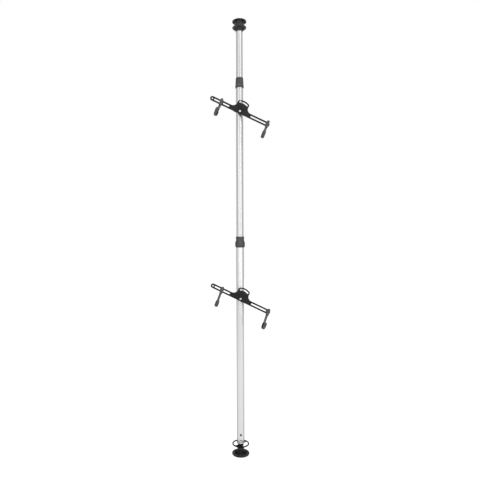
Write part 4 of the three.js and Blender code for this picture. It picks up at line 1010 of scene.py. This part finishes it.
def sweep(bm, face, start, heading, moves):
    # the face travels in the plane of reach and height: straight on, or round a bend
    reach, height = start
    for move in moves:
        verts = list(face.verts)
        geom = verts + list(face.edges) + [face]
        angle = math.radians(heading)
        if "ahead" in move:
            raised = bmesh.ops.extrude_face_region(bm, geom=geom)
            top = [g for g in raised["geom"] if isinstance(g, bmesh.types.BMVert)]
            step = (0, -move["ahead"] * math.cos(angle), move["ahead"] * math.sin(angle))
            bmesh.ops.translate(bm, vec=step, verts=top)
            if "shrink" in move:
                centre = sum((v.co for v in top), Vector()) / len(top)
                across = Vector((0, math.sin(angle), math.cos(angle)))
                for v in top:
                    away = (v.co - centre).dot(across)
                    v.co -= across * away * (1 - move["shrink"])
            face = [g for g in raised["geom"] if isinstance(g, bmesh.types.BMFace)][0]
            reach += move["ahead"] * math.cos(angle)
            height += move["ahead"] * math.sin(angle)
            continue
        way = math.copysign(1, move["turn"])
        centreReach = reach - way * move["radius"] * math.sin(angle)
        centreHeight = height + way * move["radius"] * math.cos(angle)
        steps = max(6, round(abs(move["turn"]) / 6))
        turned = bmesh.ops.spin(bm, geom=geom, cent=(0, -centreReach, centreHeight), axis=(-1, 0, 0),
                                angle=math.radians(move["turn"]), steps=steps, use_merge=False)
        face = [g for g in turned["geom_last"] if isinstance(g, bmesh.types.BMFace)][0]
        heading += move["turn"]
        now = math.radians(heading)
        reach = centreReach + way * move["radius"] * math.sin(now)
        height = centreHeight - way * move["radius"] * math.cos(now)
    return face, (reach, height), heading


def crossSection(bm, corners, start, heading, roundings):
    # corners are (sideways, towards the inside of the cradle)
    angle = math.radians(heading + 90)
    points = []
    for sideways, inwards in corners:
        reach = start[0] + inwards * math.cos(angle)
        height = start[1] + inwards * math.sin(angle)
        points.append((sideways, -reach, height))
    wire(bm, points, roundings)
    made = bmesh.ops.contextual_create(bm, geom=bm.edges[:])
    return made["faces"][0]


def hookMoves():
    s = SimpleNamespace(**hookSizes)
    return [
        {"ahead": s.below + 6}, {"turn": s.angle, "radius": s.bend}, {"ahead": s.slope},
        {"turn": -s.angle, "radius": s.bend}, {"turn": 180, "radius": s.cradle},
    ]


def makeHook(side, hand, place, body):
    s = SimpleNamespace(**hookSizes)
    half = s.thickness / 2
    strap = bmesh.new()
    start = (s.back + s.depth / 2, 6)
    w = s.width / 2
    face = crossSection(strap, [(-w, -half), (w, -half), (w, half), (-w, half)], start, -90,
                        [s.strapRound] * 4)
    face, where, heading = sweep(strap, face, start, -90, hookMoves() + [{"ahead": s.lip}])
    tip = []
    last = 0.0
    lastWidth = 1.0
    for i in range(1, 6):
        lift = half * math.sin(math.radians(i * 17))
        width = math.cos(math.radians(i * 17))
        tip.append({"ahead": lift - last, "shrink": width / lastWidth})
        last = lift
        lastWidth = width
    sweep(strap, face, where, heading, tip)
    bmesh.ops.recalc_face_normals(strap, faces=strap.faces)
    r = s.blockHalf
    outline = [(-r, -s.below), (r, -s.below), *arc((0, s.above - r), r, 0, 180, 20)]
    lug = outlineSolid(outline, s.depth, edgeRound=1.3, segments=3)
    facedForward(lug, s.back)
    ridgeLow = 2 - s.below
    ridge = outlineSolid([
        (-s.ridgeHalf, ridgeLow), (s.ridgeHalf, ridgeLow), *arc((0, s.ridgeTop), s.ridgeHalf, 0, 180, 10),
    ], 1.4, edgeRound=0.6)
    facedForward(ridge, s.back + s.depth - 0.6)
    hole = drill(s.studHole, 20, 32, (0, 5.7 - s.back, 0))
    lug = carved(joined(lug, ridge), hole)
    hook = joined(lug, strap)
    finishPiece(f"{side}{hand}Hook", hook, "hookCoat", body,
                [f"{side}_{hand.lower()}_hook"], place)

    pad = bmesh.new()
    t = half + seatGap
    p = s.padWidth / 2
    e = w + seatGap
    cradleStart = cradlePlace()
    inner = t + s.padThickness
    wrap = t + 0.7 - s.padWrap
    corners = [
        (-p, wrap), (-e, wrap), (-e, t), (e, t), (e, wrap), (p, wrap),
        (p, inner - 1.4), (p - 4, inner), (-p + 4, inner), (-p, inner - 1.4),
    ]
    roundings = [1.2, 0.5, 0, 0, 0.5, 1.2, 1.6, 3, 3, 1.6]
    start = (cradleStart[0], cradleStart[1] + s.padBack)
    face = crossSection(pad, corners, start, -90, roundings)
    moves = [{"ahead": s.padBack}, {"turn": 180, "radius": s.cradle}, {"ahead": s.padLip}]
    sweep(pad, face, start, -90, moves)
    bmesh.ops.recalc_face_normals(pad, faces=pad.faces)
    finishPiece(f"{side}{hand}HookPad", pad, "saddleRubber", body,
                [f"{side}_{hand.lower()}_hook_pad"], place)


def cradlePlace():
    # where the cradle of the strap begins: reach and height
    s = SimpleNamespace(**hookSizes)
    a = math.radians(s.angle)
    reach = s.back + s.depth / 2 + 2 * s.bend * (1 - math.cos(a)) + s.slope * math.sin(a)
    height = -s.below - 2 * s.bend * math.sin(a) - s.slope * math.cos(a)
    return reach, height


knobSizes = dict(radius=12.6, lobe=1.4, lobes=6, thickness=12, collar=8, collarHeight=2.5, stud=4.2,
                 studDepth=14, dishFloor=6.5, dishMouth=8.5, dishDepth=1.4, capRadius=4.2, capFace=3.4,
                 capHeight=1.8, capRise=0.4)


def makeKnob(side, hand, place, body):
    s = SimpleNamespace(**knobSizes)
    back = plateSizes["standOff"] - seatGap
    outline = []
    for i in range(96):
        angle = 2 * math.pi * i / 96
        radius = s.radius + s.lobe * math.cos(s.lobes * angle)
        outline.append((radius * math.cos(angle), radius * math.sin(angle)))
    grip = outlineSolid(outline, s.thickness, edgeRound=1.4, segments=3)
    moved(grip, (0, 0, -s.thickness))
    dish = moved(rod(s.dishFloor, 4, 40, radius2=s.dishMouth), (0, 0, s.dishDepth - s.thickness - 4))
    grip = carved(grip, dish)
    collar = turnedSolid([
        (0, -1), (s.collar, -1), (s.collar, s.collarHeight, 0.4), (0, s.collarHeight),
    ], 48)
    studLength = s.collarHeight + plateSizes["thickness"] + 2 * seatGap + s.studDepth
    stud = rod(s.stud, studLength, 32, 0.6)
    endLow = -s.thickness - s.capRise
    endHigh = endLow + s.capHeight
    endCap = turnedSolid([
        (0, endLow), (s.capFace, endLow, 0.3), (s.capRadius, endHigh), (0, endHigh),
    ], 40)
    knob = joined(grip, collar, stud, endCap)
    facedForward(knob, back - s.collarHeight)
    finishPiece(f"{side}{hand}HookKnob", knob, "knobPlastic", body,
                [f"{side}_{hand.lower()}_hook_knob"], place)


for side, tube in (("lower", "lower"), ("upper", "middle")):
    makeClampLiner(side, tubeSizes[tube])
    makeClamp(side)
    makeClampBolts(side)
    makePlate(side)
    for hand, along, arm, knobBody in (
        ("Left", leftHookPlace, f"{side}_left_arm", f"{side}_left_slider"),
        ("Right", rightHookPlace, f"{side}_right_arm", f"{side}_right_arm"),
    ):
        turn = Matrix.Rotation(math.radians(hookTurn), 4, "Y")
        place = platePlace(side) @ Matrix.Translation((along, 0, 0)) @ turn
        makeHook(side, hand, place, arm)
        makeKnob(side, hand, place, knobBody)
print("holders made")


# Hidden pieces keep their solids

keptNodes = {
    "lower_lock_sleeve": "nylonWhite", "lower_lock_collet": "nylonWhite", "middle_tube_glide": "nylonWhite",
    "upper_lock_sleeve": "nylonWhite", "upper_lock_collet": "nylonWhite", "upper_tube_glide": "nylonWhite",
    "ceiling_screw": "zinc",
}
for node, finish in keptNodes.items():
    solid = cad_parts[node]
    solid.data.materials.clear()
    solid.data.materials.append(materials[finish])


# Camera, light and floor

studioSizes = dict(cameraSide=-0.12, cameraBack=3.088, cameraHeight=1.484, cameraRoll=0.2, shift=0.036,
                   lens=33.375, film=36, farthest=60, floorHalf=14, floorWhite=0.8, floorGlow=0.68,
                   world=0.5)


def makeCamera():
    s = SimpleNamespace(**studioSizes)
    data = bpy.data.cameras.new("camera")
    data.lens = s.lens
    data.sensor_width = s.film
    data.clip_end = s.farthest
    data.shift_x = s.shift
    camera = linked("camera", data)
    camera.location = (s.cameraSide, -s.cameraBack, s.cameraHeight)
    camera.rotation_euler = (math.radians(90), math.radians(s.cameraRoll), 0)
    bpy.context.scene.camera = camera


lamps = {
    "rightLamp": dict(place=(2.1, -4.2, 2.5), target=(0, 0, 2.1), size=(1.8, 2.6), power=32),
    "leftLamp": dict(place=(-2.1, -4.2, 2.5), target=(0, 0, 2.1), size=(1.8, 2.6), power=22),
    "topLamp": dict(place=(0.7, -2.2, 5.6), target=(0, 0, 1.6), size=(4, 4), power=60),
}


def makeLamp(name, place, target, size, power):
    data = bpy.data.lights.new(name, "AREA")
    data.shape = "RECTANGLE"
    data.size, data.size_y = size
    data.energy = power
    lampObject = linked(name, data)
    lampObject.location = place
    lampObject.rotation_euler = (Vector(target) - Vector(place)).to_track_quat("-Z", "Y").to_euler()


def seenDirectly(tree):
    # 1 for what the camera sees, also in a reflection or through a clear piece
    path = tree.nodes.new("ShaderNodeLightPath")
    total = path.outputs["Is Camera Ray"]
    for kind in ("Is Glossy Ray", "Is Transmission Ray"):
        total = mathNode(tree, "MAXIMUM", total, path.outputs[kind])
    return total


def makeFloor():
    s = SimpleNamespace(**studioSizes)
    bm = bmesh.new()
    bmesh.ops.create_grid(bm, x_segments=1, y_segments=1, size=s.floorHalf)
    mesh = bpy.data.meshes.new("studioFloor")
    bm.to_mesh(mesh)
    bm.free()
    floor = linked("studioFloor", mesh)
    material = bpy.data.materials.new("studioFloor")
    material.use_nodes = True
    tree = material.node_tree
    tree.nodes.clear()
    diffuse = tree.nodes.new("ShaderNodeBsdfDiffuse")
    diffuse.inputs["Color"].default_value = (s.floorWhite,) * 3 + (1,)
    glow = tree.nodes.new("ShaderNodeEmission")
    glow.inputs["Color"].default_value = (1, 1, 1, 1)
    both = tree.nodes.new("ShaderNodeAddShader")
    out = tree.nodes.new("ShaderNodeOutputMaterial")
    share = mathNode(tree, "MULTIPLY", seenDirectly(tree), s.floorGlow)
    tree.links.new(share, glow.inputs["Strength"])
    tree.links.new(diffuse.outputs[0], both.inputs[0])
    tree.links.new(glow.outputs[0], both.inputs[1])
    tree.links.new(both.outputs[0], out.inputs["Surface"])
    mesh.materials.append(material)


def backdrop(tree, strength):
    node = tree.nodes.new("ShaderNodeBackground")
    node.inputs["Color"].default_value = (1, 1, 1, 1)
    node.inputs["Strength"].default_value = strength
    return node.outputs[0]


def makeWorld():
    s = SimpleNamespace(**studioSizes)
    world = bpy.data.worlds.new("studio")
    bpy.context.scene.world = world
    world.use_nodes = True
    tree = world.node_tree
    tree.nodes.clear()
    mix = tree.nodes.new("ShaderNodeMixShader")
    out = tree.nodes.new("ShaderNodeOutputWorld")
    tree.links.new(seenDirectly(tree), mix.inputs[0])
    tree.links.new(backdrop(tree, s.world), mix.inputs[1])
    tree.links.new(backdrop(tree, 1), mix.inputs[2])
    tree.links.new(mix.outputs[0], out.inputs["Surface"])


makeCamera()
for name, values in lamps.items():
    makeLamp(name, **values)
makeFloor()
makeWorld()
bpy.context.scene.view_settings.view_transform = "Standard"
print("studio made")
